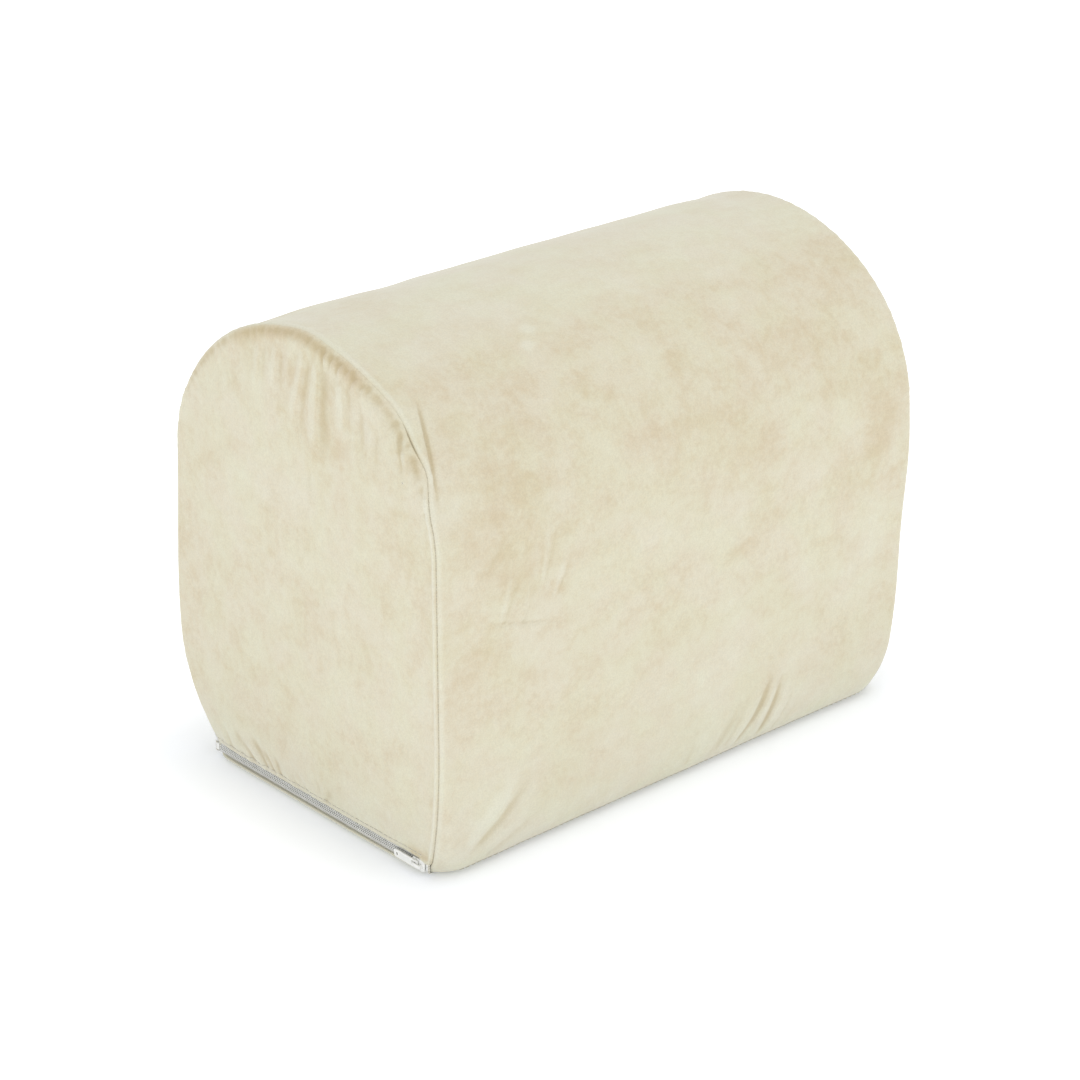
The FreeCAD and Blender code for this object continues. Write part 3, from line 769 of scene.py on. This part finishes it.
def build_wrap_panel(simulated):
    """The long panel over both sides and the dome, and its two base seam lines."""
    points, outs, from_near, from_far = wrap_surface()
    x, y, z = (points[..., k] for k in range(3))
    run = np.broadcast_to(RIM_RUN[:, None], from_near.shape)
    on_arch = smooth(SPRING_Z - 30 * MM, SPRING_Z + 30 * MM, z)
    height = np.zeros_like(x)
    for distance, seed in ((from_near, 41), (from_far, 47)):
        height += seam_profile(distance, z, False)
        height += seam_puckers(run, distance, seed, 8 * MM, (0.05 + 0.14 * on_arch) * MM)
    for distance, seed in ((run, 53), (RIM_LENGTH - run, 59)):
        height += seam_puckers(x, distance, seed, 10 * MM, 0.16 * MM)
        height -= 0.5 * MM * np.exp(-distance / (0.6 * MM))
    upright = 1 - smooth(SPRING_Z - 10 * MM, SPRING_Z + 20 * MM, z)
    front = upright * (y < 0)
    rear = upright * (y > 0)
    height += front * (side_gathers(x, z) + folds_from(x, z, SIDE_CREASES, 1.5 * MM))
    height += rear * side_gathers(-x, z)
    flat = points.reshape(-1, 3)
    height += pinch_line(from_near, y, z)
    height = height.reshape(-1) + wrap_crease(flat)
    clear = smooth(0, 20 * MM, np.minimum(from_near, from_far)).reshape(-1)
    slow = soft_swell(flat) * clear + wrinkles_at(flat, simulated) * clear
    shaped = flat + outs.reshape(-1, 3) * np.maximum(height + slow, -DEEPEST)[:, None]
    shaped[:, 2] = np.maximum(shaped[:, 2], 0.2 * MM)
    shaped = shaped.reshape(points.shape)
    # the tone layer: nap patches with painted shade and painted highlight beside the seams and in the marks
    tone_and_painted_light = marked_tone_and_painted_light(flat) + seam_painted_shade_and_highlight(np.minimum(from_near, from_far), y, z, False).reshape(-1)
    panel = sheet("wrap_cover", shaped, {"fold": height / MM, "tone_and_painted_light": tone_and_painted_light})
    return panel, shaped[0], shaped[-1]


def lift_hem(points):
    """The zip end's lower edge is cut higher than the base seam, to leave the zip showing."""
    share = 1 - smooth(ZIP_HALF - 7 * MM, ZIP_HALF + 0.5 * MM, np.abs(points[:, 1]))
    fade = 1 - smooth(BASE_SEAM_Z, DRAW_IN_TOP, points[:, 2])
    before = end_reach(points[:, 1], points[:, 2])
    points[:, 2] += (HEM_Z - BASE_SEAM_Z) * share * fade
    points[:, 0] -= np.where(share * fade > 0, end_reach(points[:, 1], points[:, 2]) - before, 0)


def build_end_panel(side, name, simulated):
    """A D-shaped end panel with its seam line and bottom edge. The side is -1 at the zip end."""
    points, outs, distance, run, faces, edge, seam = end_surface(side)
    bottom = points[edge].copy()
    if side < 0:
        lift_hem(points)
    y, z = points[:, 1], points[:, 2]
    on_arch = smooth(SPRING_Z - 10 * MM, SPRING_Z + 45 * MM, z)
    height = seam_profile(distance, z, True)
    height += seam_puckers(run, distance, 61 + side, 11 * MM, (0.05 + 0.26 * on_arch) * MM)
    settle = smooth(0.5 * MM, 4 * MM, distance)
    height += settle * (arch_pleats(-side * y, z) + hem_gathers(-side * y, z))
    if side < 0:
        height += settle * folds_from(y, z, PINCH_FOLDS) + pinch_line(distance, y, z)
        height += hem_relief(y, z)
    slow = (soft_swell(points) + wrinkles_at(points, simulated)) * smooth(0, 20 * MM, distance)
    shaped = points + outs * np.maximum(height + slow, -DEEPEST)[:, None]
    # the tone layer: nap patches with painted shade and painted highlight beside the seams and in the marks
    tone_and_painted_light = marked_tone_and_painted_light(points) + seam_painted_shade_and_highlight(distance, y, z, True)
    panel = new_mesh(name, shaped, faces, {"fold": height / MM, "tone_and_painted_light": tone_and_painted_light})
    return panel, shaped[seam], bottom


def hem_relief(y, z):
    """The zip end's hem: a rolled edge, and a dimpled line where it is sewn to the zip."""
    inside = 1 - smooth(ZIP_HALF - 8 * MM, ZIP_HALF, np.abs(y))
    rolled = 0.35 * MM * bump(z, HEM_Z + 1.4 * MM, 1.2 * MM) - 0.3 * MM * bump(z, HEM_Z, 0.5 * MM)
    sewn = -0.3 * MM * bump(z, UPPER_STITCH_LOW.z, 0.7 * MM)
    return inside * (rolled + sewn)


def build_base_panel(front, rear, left, right):
    """The flat base, in rings from its outline to a line along its middle, with its edges raised."""
    outline = np.concatenate([front, right[1:], rear[-2::-1], left[-2:0:-1]])
    reach = FOOT_X - HALF_DEPTH
    middle_x = ((front[:, 0] + rear[:, 0]) / 2).clip(-reach, reach)
    line_x = np.concatenate([
        middle_x,
        np.full(len(right) - 1, reach),
        middle_x[-2::-1],
        np.full(len(left) - 2, -reach),
    ])
    line = np.stack([line_x, np.zeros_like(line_x), np.full_like(line_x, BASE_LOW.z)], 1)
    inner = np.linspace(NEAR_SEAM[-1] * MM, HALF_DEPTH, 10)[1:]
    insets = np.concatenate([[0.0], np.array(NEAR_SEAM) * MM, inner])
    rings = []
    for inset in insets:
        ring = outline + (line - outline) * inset / HALF_DEPTH
        rise = math.exp(-inset / (3.5 * MM))
        lowest = 0.45 * MM + 0.12 * MM * field(ring, 30 * MM, 17)
        ring[:, 2] = lowest * (1 - rise) + outline[:, 2] * rise
        rings.append(ring)
    rings[-1][:, 2] = 0.45 * MM
    points = np.concatenate(rings)
    faces = grid_faces(ring_numbers(len(rings), len(outline)))[:, ::-1]
    # painted light: the base's tone is set pale to lighten the strip of it that shows in shade under the zip
    layers = {"fold": np.zeros(len(points)), "tone_and_painted_light": np.full(len(points), 0.5)}
    panel = new_mesh("base_cover", points, faces, layers)
    merged = bmesh.new()
    merged.from_mesh(panel.data)
    bmesh.ops.remove_doubles(merged, verts=merged.verts, dist=0.001 * MM)
    merged.to_mesh(panel.data)
    merged.free()
    return panel


def thicken(piece, thickness, offset=-1):
    """Gives a sheet its cloth thickness, inwards unless told otherwise."""
    solid = piece.modifiers.new("cloth_thickness", "SOLIDIFY")
    solid.thickness = thickness
    solid.offset = offset


# ---------------- threads, zip and label

def unit(vectors):
    """Vectors of length one."""
    return vectors / np.linalg.norm(vectors, axis=-1, keepdims=True).clip(1e-12)


def tube(path, up, radius, sides=6):
    """Points and faces of a closed round tube along a path. The vector up sets where its sides begin."""
    tangent = unit(np.gradient(path, axis=0))
    up = np.broadcast_to(up, path.shape)
    first = unit(up - (up * tangent).sum(1)[:, None] * tangent)
    second = np.cross(tangent, first)
    radius = np.broadcast_to(radius, len(path))[:, None, None]
    turn = np.arange(sides) / sides * 2 * math.pi
    circle = np.cos(turn)[None, :, None] * first[:, None] + np.sin(turn)[None, :, None] * second[:, None]
    points = (path[:, None] + radius * circle).reshape(-1, 3)
    index = ring_numbers(len(path), sides)
    faces = [list(face)[::-1] for face in grid_faces(index)]
    faces += [list(index[0, :-1]), list(index[-1, -2::-1])]
    return points, faces


def joined(name, parts):
    """One object from several sets of points and faces."""
    points, faces, start = [], [], 0
    for part_points, part_faces in parts:
        points.append(part_points)
        faces += [[start + corner for corner in face] for face in part_faces]
        start += len(part_points)
    return new_mesh(name, np.concatenate(points), faces)


STITCH_PITCH = 4 * MM
STITCH_LENGTH = 3.3 * MM
THREAD_RADIUS = 0.22 * MM


def stitch_row(name, path, up, lift, skip=17 * MM):
    """A row of stitches along a path: each rises out of the cloth, lies on it and dips back in."""
    along = np.concatenate([[0], np.cumsum(np.linalg.norm(np.diff(path, axis=0), axis=1))])
    up = np.broadcast_to(up, path.shape)
    count = int((along[-1] - 2 * skip) / STITCH_PITCH)
    start = (along[-1] - (count - 1) * STITCH_PITCH - STITCH_LENGTH) / 2
    profile = np.array([-0.45, 0.0, 0.10, 0.13, 0.10, 0.0, -0.45]) * MM
    share = np.array([0.0, 0.07, 0.25, 0.5, 0.75, 0.93, 1.0])
    parts = []
    for k in range(count):
        at = start + k * STITCH_PITCH + share * STITCH_LENGTH
        place = np.stack([np.interp(at, along, path[:, i]) for i in range(3)], 1)
        out = unit(np.stack([np.interp(at, along, up[:, i]) for i in range(3)], 1))
        parts.append(tube(place + out * (lift + profile)[:, None], out, THREAD_RADIUS))
    return joined(name, parts)


def coil_row(name, low, high, phase):
    """One side of the zip: a continuous nylon filament wound in a flattened spiral."""
    wire = 0.32 * MM
    pitch = 1.5 * MM
    length = high.y - low.y - 2 * wire
    turns = int(length / pitch)
    turn = np.linspace(0, turns * 2 * math.pi, turns * 14 + 1)
    wide = (high.x - low.x) / 2 - wire
    tall = (high.z - low.z) / 2 - wire
    out = np.stack([np.cos(turn + phase), np.zeros_like(turn), np.sin(turn + phase)], 1)
    path = np.stack([
        (low.x + high.x) / 2 + wide * out[:, 0],
        low.y + wire + length * turn / turn[-1],
        (low.z + high.z) / 2 + tall * out[:, 2],
    ], 1)
    return joined(name, [tube(path, out, wire, 7)])


def strip(name, line):
    """A woven tape between the bar tacks, made of rows of x and z given for the places along y."""
    half = ZIP_HALF - 1 * MM
    y = np.linspace(-half, half, 160)
    points = np.stack([np.stack([x, y, z], 1) for x, z in line(y)])
    tape = sheet(name, points)
    thicken(tape, LINING, 0)
    return tape


def upper_tape_line(y):
    """The upper tape hangs behind the end's hem, down to its coil."""
    rows = []
    for z in np.linspace(TAPE_LOW.z, TAPE_HIGH.z, 12):
        rows.append((-(end_reach(y, z + 1 * MM) - CLOTH - 0.55 * MM), np.full_like(y, z)))
    return rows


def lower_tape_line(y):
    """The lower tape lies on the base's inner face and turns up to its coil."""
    flat_z = BASE_SEAM_Z - 0.35 * MM
    turn_radius = 1.6 * MM
    bend_x = COIL_LOW.x + 0.9 * MM + turn_radius
    rows = [(np.full_like(y, x), np.full_like(y, flat_z)) for x in np.linspace(LOWER_TAPE_HIGH.x, bend_x, 6)]
    for turn in np.linspace(0, math.pi / 2, 6)[1:]:
        x = bend_x - turn_radius * math.sin(turn)
        z = flat_z + turn_radius * (1 - math.cos(turn))
        rows.append((np.full_like(y, x), np.full_like(y, z)))
    rows.append((rows[-1][0], np.full_like(y, LOWER_COIL_LOW.z + 0.1 * MM)))
    return rows


def laid_on(piece, y, z):
    """Points at the given places along the zip end's surface, found on the piece's mesh."""
    faces = [tuple(face.vertices) for face in piece.data.polygons]
    tree = BVHTree.FromPolygons([vertex.co for vertex in piece.data.vertices], faces)
    hits = [tree.ray_cast(Vector((2 * CAD_LOW.x, a, b)), Vector((1, 0, 0)))[0] for a, b in zip(y, z)]
    return np.array([tuple(hit) for hit in hits])


def bar_tacks():
    """A dense block of thread across each end of the zip."""
    parts = []
    share = np.linspace(-1, 1, 6)
    for side in (-1, 1):
        for level in np.linspace(TACKS_LOW.z + 0.4 * MM, TACKS_HIGH.z - 0.4 * MM, 17):
            y = np.linspace(-0.9, 0.9, 6) * MM + side * (ZIP_HALF - 0.95 * MM)
            x = TACKS_LOW.x + 0.15 * MM + 0.35 * MM * np.abs(share) ** 4
            z = level + 0.18 * MM * share
            path = np.stack([x, y, z], 1)
            parts.append(tube(path, np.array([-1.0, 0, 0]), 0.2 * MM))
    return joined("bar_tack_threads", parts)


def label_piece():
    """The blank care label, a little wavy, against the cover's inner face."""
    x = np.linspace(LABEL_LOW.x, LABEL_HIGH.x, 26)
    z = np.linspace(LABEL_LOW.z, LABEL_HIGH.z, 40)
    grid_x, grid_z = np.meshgrid(x, z)
    places = np.stack([grid_x, np.full_like(grid_x, HALF_DEPTH), grid_z], -1)
    inner = side_half_depth(grid_z) + side_swell(places) - CLOTH - 0.75 * MM
    wave = 0.12 * MM * np.sin(grid_z / (9 * MM)) * smooth(LABEL_LOW.z, LABEL_HIGH.z, grid_z)
    places[..., 1] = inner + wave
    label = sheet("care_label_cloth", places)
    thicken(label, 0.22 * MM, 0)
    return label


# ---------------- materials

class Paint:
    """A node material: its methods add texture and colour nodes to it and set its shader."""

    def __init__(self, name):
        self.material = bpy.data.materials.new(name)
        self.material.use_nodes = True
        self.tree = self.material.node_tree
        self.shader = self.tree.nodes["Principled BSDF"]
        self.place = self.node("TexCoord").outputs["Object"]

    def put(self, value, socket):
        """Links a socket or sets a constant."""
        if isinstance(value, bpy.types.NodeSocket):
            self.tree.links.new(value, socket)
        elif socket.type == "RGBA":
            socket.default_value = (*value, 1.0)
        else:
            socket.default_value = value

    def put_all(self, node, inputs):
        """Puts values into a node's named inputs. An underscore stands for a space."""
        for name, value in inputs.items():
            self.put(value, node.inputs[name.replace("_", " ")])
        return node

    def node(self, kind, **inputs):
        """A new node of a kind."""
        return self.put_all(self.tree.nodes.new("ShaderNode" + kind), inputs)

    def shade(self, **inputs):
        """Sets inputs of the shader."""
        self.put_all(self.shader, inputs)

    def noise(self, scale, detail=3.0, roughness=0.5, place=None):
        """A noise texture of about 0 to 1."""
        place = self.place if place is None else place
        node = self.node("TexNoise", Vector=place, Scale=scale, Detail=detail, Roughness=roughness)
        return node.outputs["Fac"]

    def waves(self, direction, scale, distortion):
        """Even bands across one direction."""
        node = self.node("TexWave", Vector=self.place, Scale=scale, Distortion=distortion)
        node.bands_direction = direction
        return node

    def stretched(self, scale, turn=(0.0, 0.0, 0.0)):
        """Coordinates turned, then scaled differently along each axis."""
        return self.node("Mapping", Vector=self.place, Scale=scale, Rotation=turn).outputs["Vector"]

    def arithmetic(self, operation, first, second=0.0):
        """One arithmetic step."""
        node = self.node("Math")
        node.operation = operation
        self.put(first, node.inputs[0])
        self.put(second, node.inputs[1])
        return node.outputs[0]

    def added(self, first, *others):
        """The sum of several values."""
        for other in others:
            first = self.arithmetic("ADD", first, other)
        return first

    def centred(self, value, strength):
        """A 0 to 1 value as a plus or minus share of a strength."""
        return self.arithmetic("MULTIPLY", self.arithmetic("SUBTRACT", value, 0.5), strength)

    def remap(self, value, low, high, to_low=0.0, to_high=1.0):
        """A value moved smoothly from one range to another, clamped."""
        node = self.node("MapRange", Value=value, From_Min=low, From_Max=high, To_Min=to_low, To_Max=to_high)
        node.interpolation_type = "SMOOTHSTEP"
        return node.outputs["Result"]

    def mixed(self, share, first, second, blend="MIX"):
        """Two colours mixed by a share. Each colour is a socket or a tuple."""
        node = self.node("Mix")
        node.data_type = "RGBA"
        node.blend_type = blend
        self.put(share, node.inputs["Factor"])
        self.put(first, node.inputs[6])
        self.put(second, node.inputs[7])
        return node.outputs[2]

    def uneven(self, colour, value, low, high):
        """A colour made darker and paler by a noise value, between two strengths."""
        return self.mixed(1.0, colour, self.remap(value, 0.3, 0.7, low, high), "MULTIPLY")

    def ramp(self, value, stops):
        """Colours from a value, through (place, colour) stops."""
        node = self.node("ValToRGB", Fac=value)
        elements = node.color_ramp.elements
        elements[0].position, elements[0].color = stops[0][0], (*stops[0][1], 1)
        elements[1].position, elements[1].color = stops[-1][0], (*stops[-1][1], 1)
        for place, colour in stops[1:-1]:
            elements.new(place).color = (*colour, 1)
        return node.outputs["Color"]

    def layer(self, name):
        """A float layer of the mesh."""
        node = self.node("Attribute")
        node.attribute_name = name
        return node.outputs["Fac"]

    def relief(self, height, strength, distance, before=None):
        """Adds a bump to the shader, on top of an earlier one."""
        node = self.node("Bump", Height=height, Strength=strength, Distance=distance)
        if before is not None:
            self.put(before, node.inputs["Normal"])
        self.shade(Normal=node.outputs["Normal"])
        return node.outputs["Normal"]


def darkened(colour, share):
    """A colour times a share."""
    return tuple(share * part for part in colour)


CREAM = (0.634, 0.590, 0.456)
TAN = (0.590, 0.517, 0.370)
PALE = (0.664, 0.642, 0.522)
WARM = (0.560, 0.474, 0.325)
# painted shade for fold valleys, and below it painted highlight for fold ridges
PAINTED_FOLD_SHADE = (0.455, 0.365, 0.205)
PAINTED_RIDGE_HIGHLIGHT = (0.70, 0.69, 0.58)


def velour_material():
    """Cream velour: a softly mottled nap, with painted highlight on the folds' ridges and painted tan shade
    in their valleys.
    """
    paint = Paint("velour")
    patch = paint.noise(70, 4, 0.62)
    streak = paint.noise(1.0, 4, 0.6, paint.stretched((34, 90, 90), (0, 0.25, 0)))
    grain = paint.noise(260, 4, 0.65)
    fibre = paint.noise(1100, 2, 0.6)
    # the tone layer brings painted shade and painted highlight as well as the nap's patches
    tone_and_painted_light = paint.added(
        paint.centred(paint.noise(24), 0.54),
        paint.centred(patch, 0.66),
        paint.centred(streak, 0.50),
        paint.centred(grain, 0.62),
        paint.layer("tone_and_painted_light"),
        0.6,
    )
    colour = paint.ramp(tone_and_painted_light, [(0.0, WARM), (0.3, TAN), (0.6, CREAM), (1.0, PALE)])
    hue = paint.remap(paint.noise(34), 0.35, 0.65)
    colour = paint.mixed(1.0, colour, paint.mixed(hue, (1.0, 0.988, 0.990), (0.992, 1.0, 0.972)), "MULTIPLY")
    # painted shade in the folds' valleys
    fold_shade_share = paint.remap(paint.layer("fold"), -0.06, -1.0)
    colour = paint.mixed(paint.arithmetic("MULTIPLY", fold_shade_share, 0.55), colour, PAINTED_FOLD_SHADE)
    # painted highlight on the folds' ridges
    ridge_highlight_share = paint.remap(paint.layer("fold"), 0.12, 0.8)
    colour = paint.mixed(paint.arithmetic("MULTIPLY", ridge_highlight_share, 0.42), colour, PAINTED_RIDGE_HIGHLIGHT)
    paint.shade(
        Base_Color=paint.uneven(colour, fibre, 0.955, 1.04),
        Roughness=0.9,
        Specular_IOR_Level=0.12,
        Sheen_Weight=0.45,
        Sheen_Roughness=0.4,
        Sheen_Tint=(1.0, 0.99, 0.95),
    )
    nap = paint.relief(patch, 0.18, 0.0010)
    nap = paint.relief(grain, 0.25, 0.0005, nap)
    paint.relief(fibre, 0.3, 0.0002, nap)
    return paint.material


def foam_material():
    """Polyurethane foam: pale yellow with fine open cells."""
    paint = Paint("foam")
    cells = paint.node("TexVoronoi", Vector=paint.place, Scale=900)
    cell = paint.remap(cells.outputs["Distance"], 0.1, 0.6)
    colour = paint.mixed(paint.noise(14, 4), (0.80, 0.72, 0.46), (0.88, 0.82, 0.60))
    # the cells' dark centres are painted shade in the foam's pores
    paint.shade(Base_Color=paint.mixed(cell, (0.62, 0.53, 0.30), colour), Roughness=0.95)
    paint.relief(cell, 0.6, 0.0006)
    return paint.material


def woven_material(name, colour, pitch, axes=("Y", "Z"), roughness=0.8):
    """A plain weave: two sets of rounded threads, with uneven colour."""
    paint = Paint(name)
    rows = []
    for direction in axes:
        wave = paint.waves(direction, 0.314 / pitch, 0.5)
        paint.put(2.0, wave.inputs["Detail Scale"])
        rows.append(wave.outputs["Fac"])
    weave = paint.arithmetic("MULTIPLY", *rows)
    # darker between the threads: painted shade where one thread dips under another
    threads = paint.mixed(weave, darkened(colour, 0.78), colour)
    threads = paint.uneven(threads, paint.noise(130, 4, 0.6), 0.93, 1.04)
    paint.shade(Base_Color=threads, Roughness=roughness, Sheen_Weight=0.15)
    paint.relief(weave, 0.6, 0.0003)
    return paint.material


def thread_material(name, colour):
    """Twisted polyester thread."""
    paint = Paint(name)
    twist = paint.waves("DIAGONAL", 420, 1.2).outputs["Fac"]
    # darker in the twist's grooves: painted shade between the strands
    strands = paint.mixed(twist, darkened(colour, 0.72), colour)
    strands = paint.uneven(strands, paint.noise(900, 3, 0.7), 0.92, 1.05)
    paint.shade(Base_Color=strands, Roughness=0.6, Sheen_Weight=0.3)
    paint.relief(twist, 0.5, 0.0001)
    return paint.material


def nylon_material():
    """The coils' pale nylon, a little scratched along the zip."""
    paint = Paint("nylon_coil")
    scratch = paint.noise(1.0, 3, 0.6, paint.stretched((900, 60, 900)))
    tint = paint.remap(paint.noise(160), 0.3, 0.7)
    paint.shade(
        Base_Color=paint.mixed(tint, (0.90, 0.90, 0.86), (0.94, 0.94, 0.91)),
        Roughness=paint.remap(scratch, 0.3, 0.7, 0.28, 0.46),
        Coat_Weight=0.15,
    )
    paint.relief(scratch, 0.2, 0.00005)
    return paint.material


def enamel_material():
    """White enamelled zinc: a smooth coat, rubbed through to the metal in a few small places."""
    paint = Paint("enamelled_zinc")
    white = (0.86, 0.86, 0.83)
    flow = paint.noise(240)
    worn = paint.arithmetic("MULTIPLY", paint.remap(paint.noise(520, 5, 0.65), 0.66, 0.72), 0.7)
    coat = paint.mixed(paint.remap(flow, 0.35, 0.65), darkened(white, 0.93), white)
    paint.shade(
        Base_Color=paint.mixed(worn, coat, (0.46, 0.45, 0.42)),
        Metallic=worn,
        Roughness=paint.remap(flow, 0.3, 0.7, 0.3, 0.42),
        Coat_Weight=0.25,
    )
    paint.relief(paint.noise(2400, 2), 0.12, 0.00004)
    return paint.material


# ---------------- floor, light and camera

def build_floor():
    """A wide pale floor that glows a little from within, painted light that keeps it white away from the
    cushion; its glow is weaker near the cushion, which paints a darker contact shadow.
    """
    bpy.ops.mesh.primitive_plane_add(size=12, location=(0, 0, CAD_LOW.z - 0.0002))
    floor = bpy.context.object
    floor.name = "studio_floor"
    paint = Paint("studio_floor")
    axes = paint.node("SeparateXYZ", Vector=paint.place)
    squares = []
    for axis, half in (("X", CAD_HIGH.x), ("Y", CAD_HIGH.y)):
        past = paint.arithmetic("SUBTRACT", paint.arithmetic("ABSOLUTE", axes.outputs[axis]), half)
        outside = paint.arithmetic("MAXIMUM", past)
        squares.append(paint.arithmetic("MULTIPLY", outside, outside))
    away = paint.arithmetic("SQRT", paint.added(*squares))
    # painted light: the floor's glow rises away from the cushion, so the weaker glow close to it paints shade
    # around the cushion
    paint.shade(
        Base_Color=paint.mixed(paint.noise(3), (0.89, 0.915, 0.955), (0.91, 0.935, 0.975)),
        Roughness=1.0,
        Specular_IOR_Level=0.0,
        Emission_Color=(1, 1, 1),
        Emission_Strength=paint.remap(away, 0.0, 0.11, 0.15, 0.46),
    )
    floor.data.materials.append(paint.material)


def area_light(name, place, target, size, power):
    """A square softbox aimed at a point."""
    light = bpy.data.lights.new(name, "AREA")
    light.size = size
    light.energy = power
    lamp = bpy.data.objects.new(name, light)
    lamp.location = place
    lamp.rotation_euler = (Vector(target) - Vector(place)).to_track_quat("-Z", "Y").to_euler()
    bpy.context.scene.collection.objects.link(lamp)


def build_light():
    """Very even studio light: a white surround with soft boxes above and beside."""
    world = bpy.data.worlds.new("studio_surround")
    world.use_nodes = True
    background = world.node_tree.nodes["Background"]
    background.inputs["Color"].default_value = (1.0, 1.0, 1.0, 1.0)
    background.inputs["Strength"].default_value = 0.762
    bpy.context.scene.world = world
    middle = (0, 0, TOP / 2)
    area_light("soft_top", (0.2, -0.2, 1.9), middle, 1.6, 9)
    area_light("soft_left", (-1.9, -0.6, 0.9), middle, 1.4, 7)
    area_light("soft_right", (0.9, -1.9, 0.9), middle, 1.4, 5)


def build_camera():
    """The camera: azimuth from the -Y side, elevation above the floor, aimed near the cushion's middle."""
    length = 2 * (HALF_LENGTH + END_CROWN)
    azimuth = math.radians(-42.04)
    elevation = math.radians(23.88)
    back = Vector((
        math.sin(azimuth) * math.cos(elevation),
        -math.cos(azimuth) * math.cos(elevation),
        math.sin(elevation),
    ))
    right = Vector((math.cos(azimuth), math.sin(azimuth), 0))
    up = back.cross(right)
    data = bpy.data.cameras.new("camera")
    data.lens = 99.8
    data.sensor_width = 36
    camera = bpy.data.objects.new("camera", data)
    camera.location = length * (4.949 * back - 0.0170 * right + 0.2939 * up)
    camera.rotation_euler = (-back).to_track_quat("-Z", "Y").to_euler()
    bpy.context.scene.collection.objects.link(camera)
    bpy.context.scene.camera = camera
    bpy.context.scene.view_settings.view_transform = "Standard"


# ---------------- assembly

def finished(piece, finish, node):
    """Gives a piece its material and its body, and hides the CAD node that it stands for."""
    piece.data.materials.append(finish)
    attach(piece, "cushion")
    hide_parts(node)


build_camera()
build_light()
build_floor()

wrinkles = simulated_wrinkles()
VELOUR = velour_material()
SEAM_THREAD = thread_material("seam_thread", (0.60, 0.56, 0.44))
ZIP_THREAD = thread_material("zip_thread", (0.70, 0.67, 0.57))
TAPE = woven_material("zip_tape", (0.92, 0.92, 0.89), 0.5 * MM)

wrap, wrap_front, wrap_rear = build_wrap_panel(wrinkles)
end_zip, zip_seam, zip_bottom = build_end_panel(-1, "end_cover_zip", wrinkles)
end_plain, plain_seam, plain_bottom = build_end_panel(1, "end_cover_plain", wrinkles)
base = build_base_panel(wrap_front, wrap_rear, zip_bottom, plain_bottom)
for cover, node in (
    (wrap, "wrap_panel"),
    (end_zip, "end_panel_zip"),
    (end_plain, "end_panel_plain"),
    (base, "base_panel"),
):
    thicken(cover, CLOTH)
    finished(cover, VELOUR, node)

liner = closed_body("liner_body", MARGIN_LINER, MARGIN_LINER)
thicken(liner, LINING)
finished(liner, woven_material("liner", (0.80, 0.79, 0.75), 0.8 * MM), "inner_liner")
foam = closed_body("foam_body", MARGIN_FOAM, MARGIN_FOAM)
finished(foam, foam_material(), "foam_core")

for side, seam, node in ((-1, zip_seam, "arch_seam_zip_end"), (1, plain_seam, "arch_seam_plain_end")):
    _, seam_out = rolled_ring(side, SEAM_TURN[side])
    sunk = seam - seam_out * (0.5 * MM * over_dome(seam[:, 2:]))
    finished(stitch_row(node + "_stitches", sunk, seam_out, 0.12 * MM), SEAM_THREAD, node)
for line, out, node in (
    (wrap_front, (0, -0.8, -0.6), "base_seam_front"),
    (wrap_rear, (0, 0.8, -0.6), "base_seam_rear"),
    (plain_bottom, (0.8, 0, -0.6), "base_seam_plain_end"),
):
    finished(stitch_row(node + "_stitches", line, out, 0.05 * MM), SEAM_THREAD, node)

y = np.linspace(-UPPER_STITCH_HIGH.y, UPPER_STITCH_HIGH.y, 90)
z = np.full_like(y, (UPPER_STITCH_LOW.z + UPPER_STITCH_HIGH.z) / 2)
upper_line = laid_on(end_zip, y, z)
upper_threads = stitch_row("zip_topstitch_upper_threads", upper_line, (-1, 0, 0), 0.08 * MM, 0)
finished(upper_threads, ZIP_THREAD, "zip_topstitch_upper")
x = np.full_like(y, (LOWER_STITCH_LOW.x + LOWER_STITCH_HIGH.x) / 2)
lower_line = np.stack([x, y, np.full_like(y, 0.75 * MM)], 1)
lower_threads = stitch_row("zip_topstitch_lower_threads", lower_line, (0, 0, -1), 0, 8 * MM)
finished(lower_threads, ZIP_THREAD, "zip_topstitch_lower")

for node, rows in (("zip_tape_upper", upper_tape_line), ("zip_tape_lower", lower_tape_line)):
    finished(strip(node + "_cloth", rows), TAPE, node)
NYLON = nylon_material()
for node, low, high, phase in (
    ("zip_coil_upper", COIL_LOW, COIL_HIGH, 0.0),
    ("zip_coil_lower", LOWER_COIL_LOW, LOWER_COIL_HIGH, math.pi),
):
    finished(coil_row(node + "_spiral", low, high, phase), NYLON, node)
finished(bar_tacks(), ZIP_THREAD, "zip_bar_tacks")
LABEL = woven_material("label", (0.82, 0.82, 0.80), 0.35 * MM, ("X", "Z"), 0.5)
finished(label_piece(), LABEL, "care_label")

ENAMEL = enamel_material()
for name in ("zip_slider", "zip_pull", "zip_top_stops", "zip_bottom_stop"):
    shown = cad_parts[name]
    shown.data.materials.clear()
    shown.data.materials.append(ENAMEL)
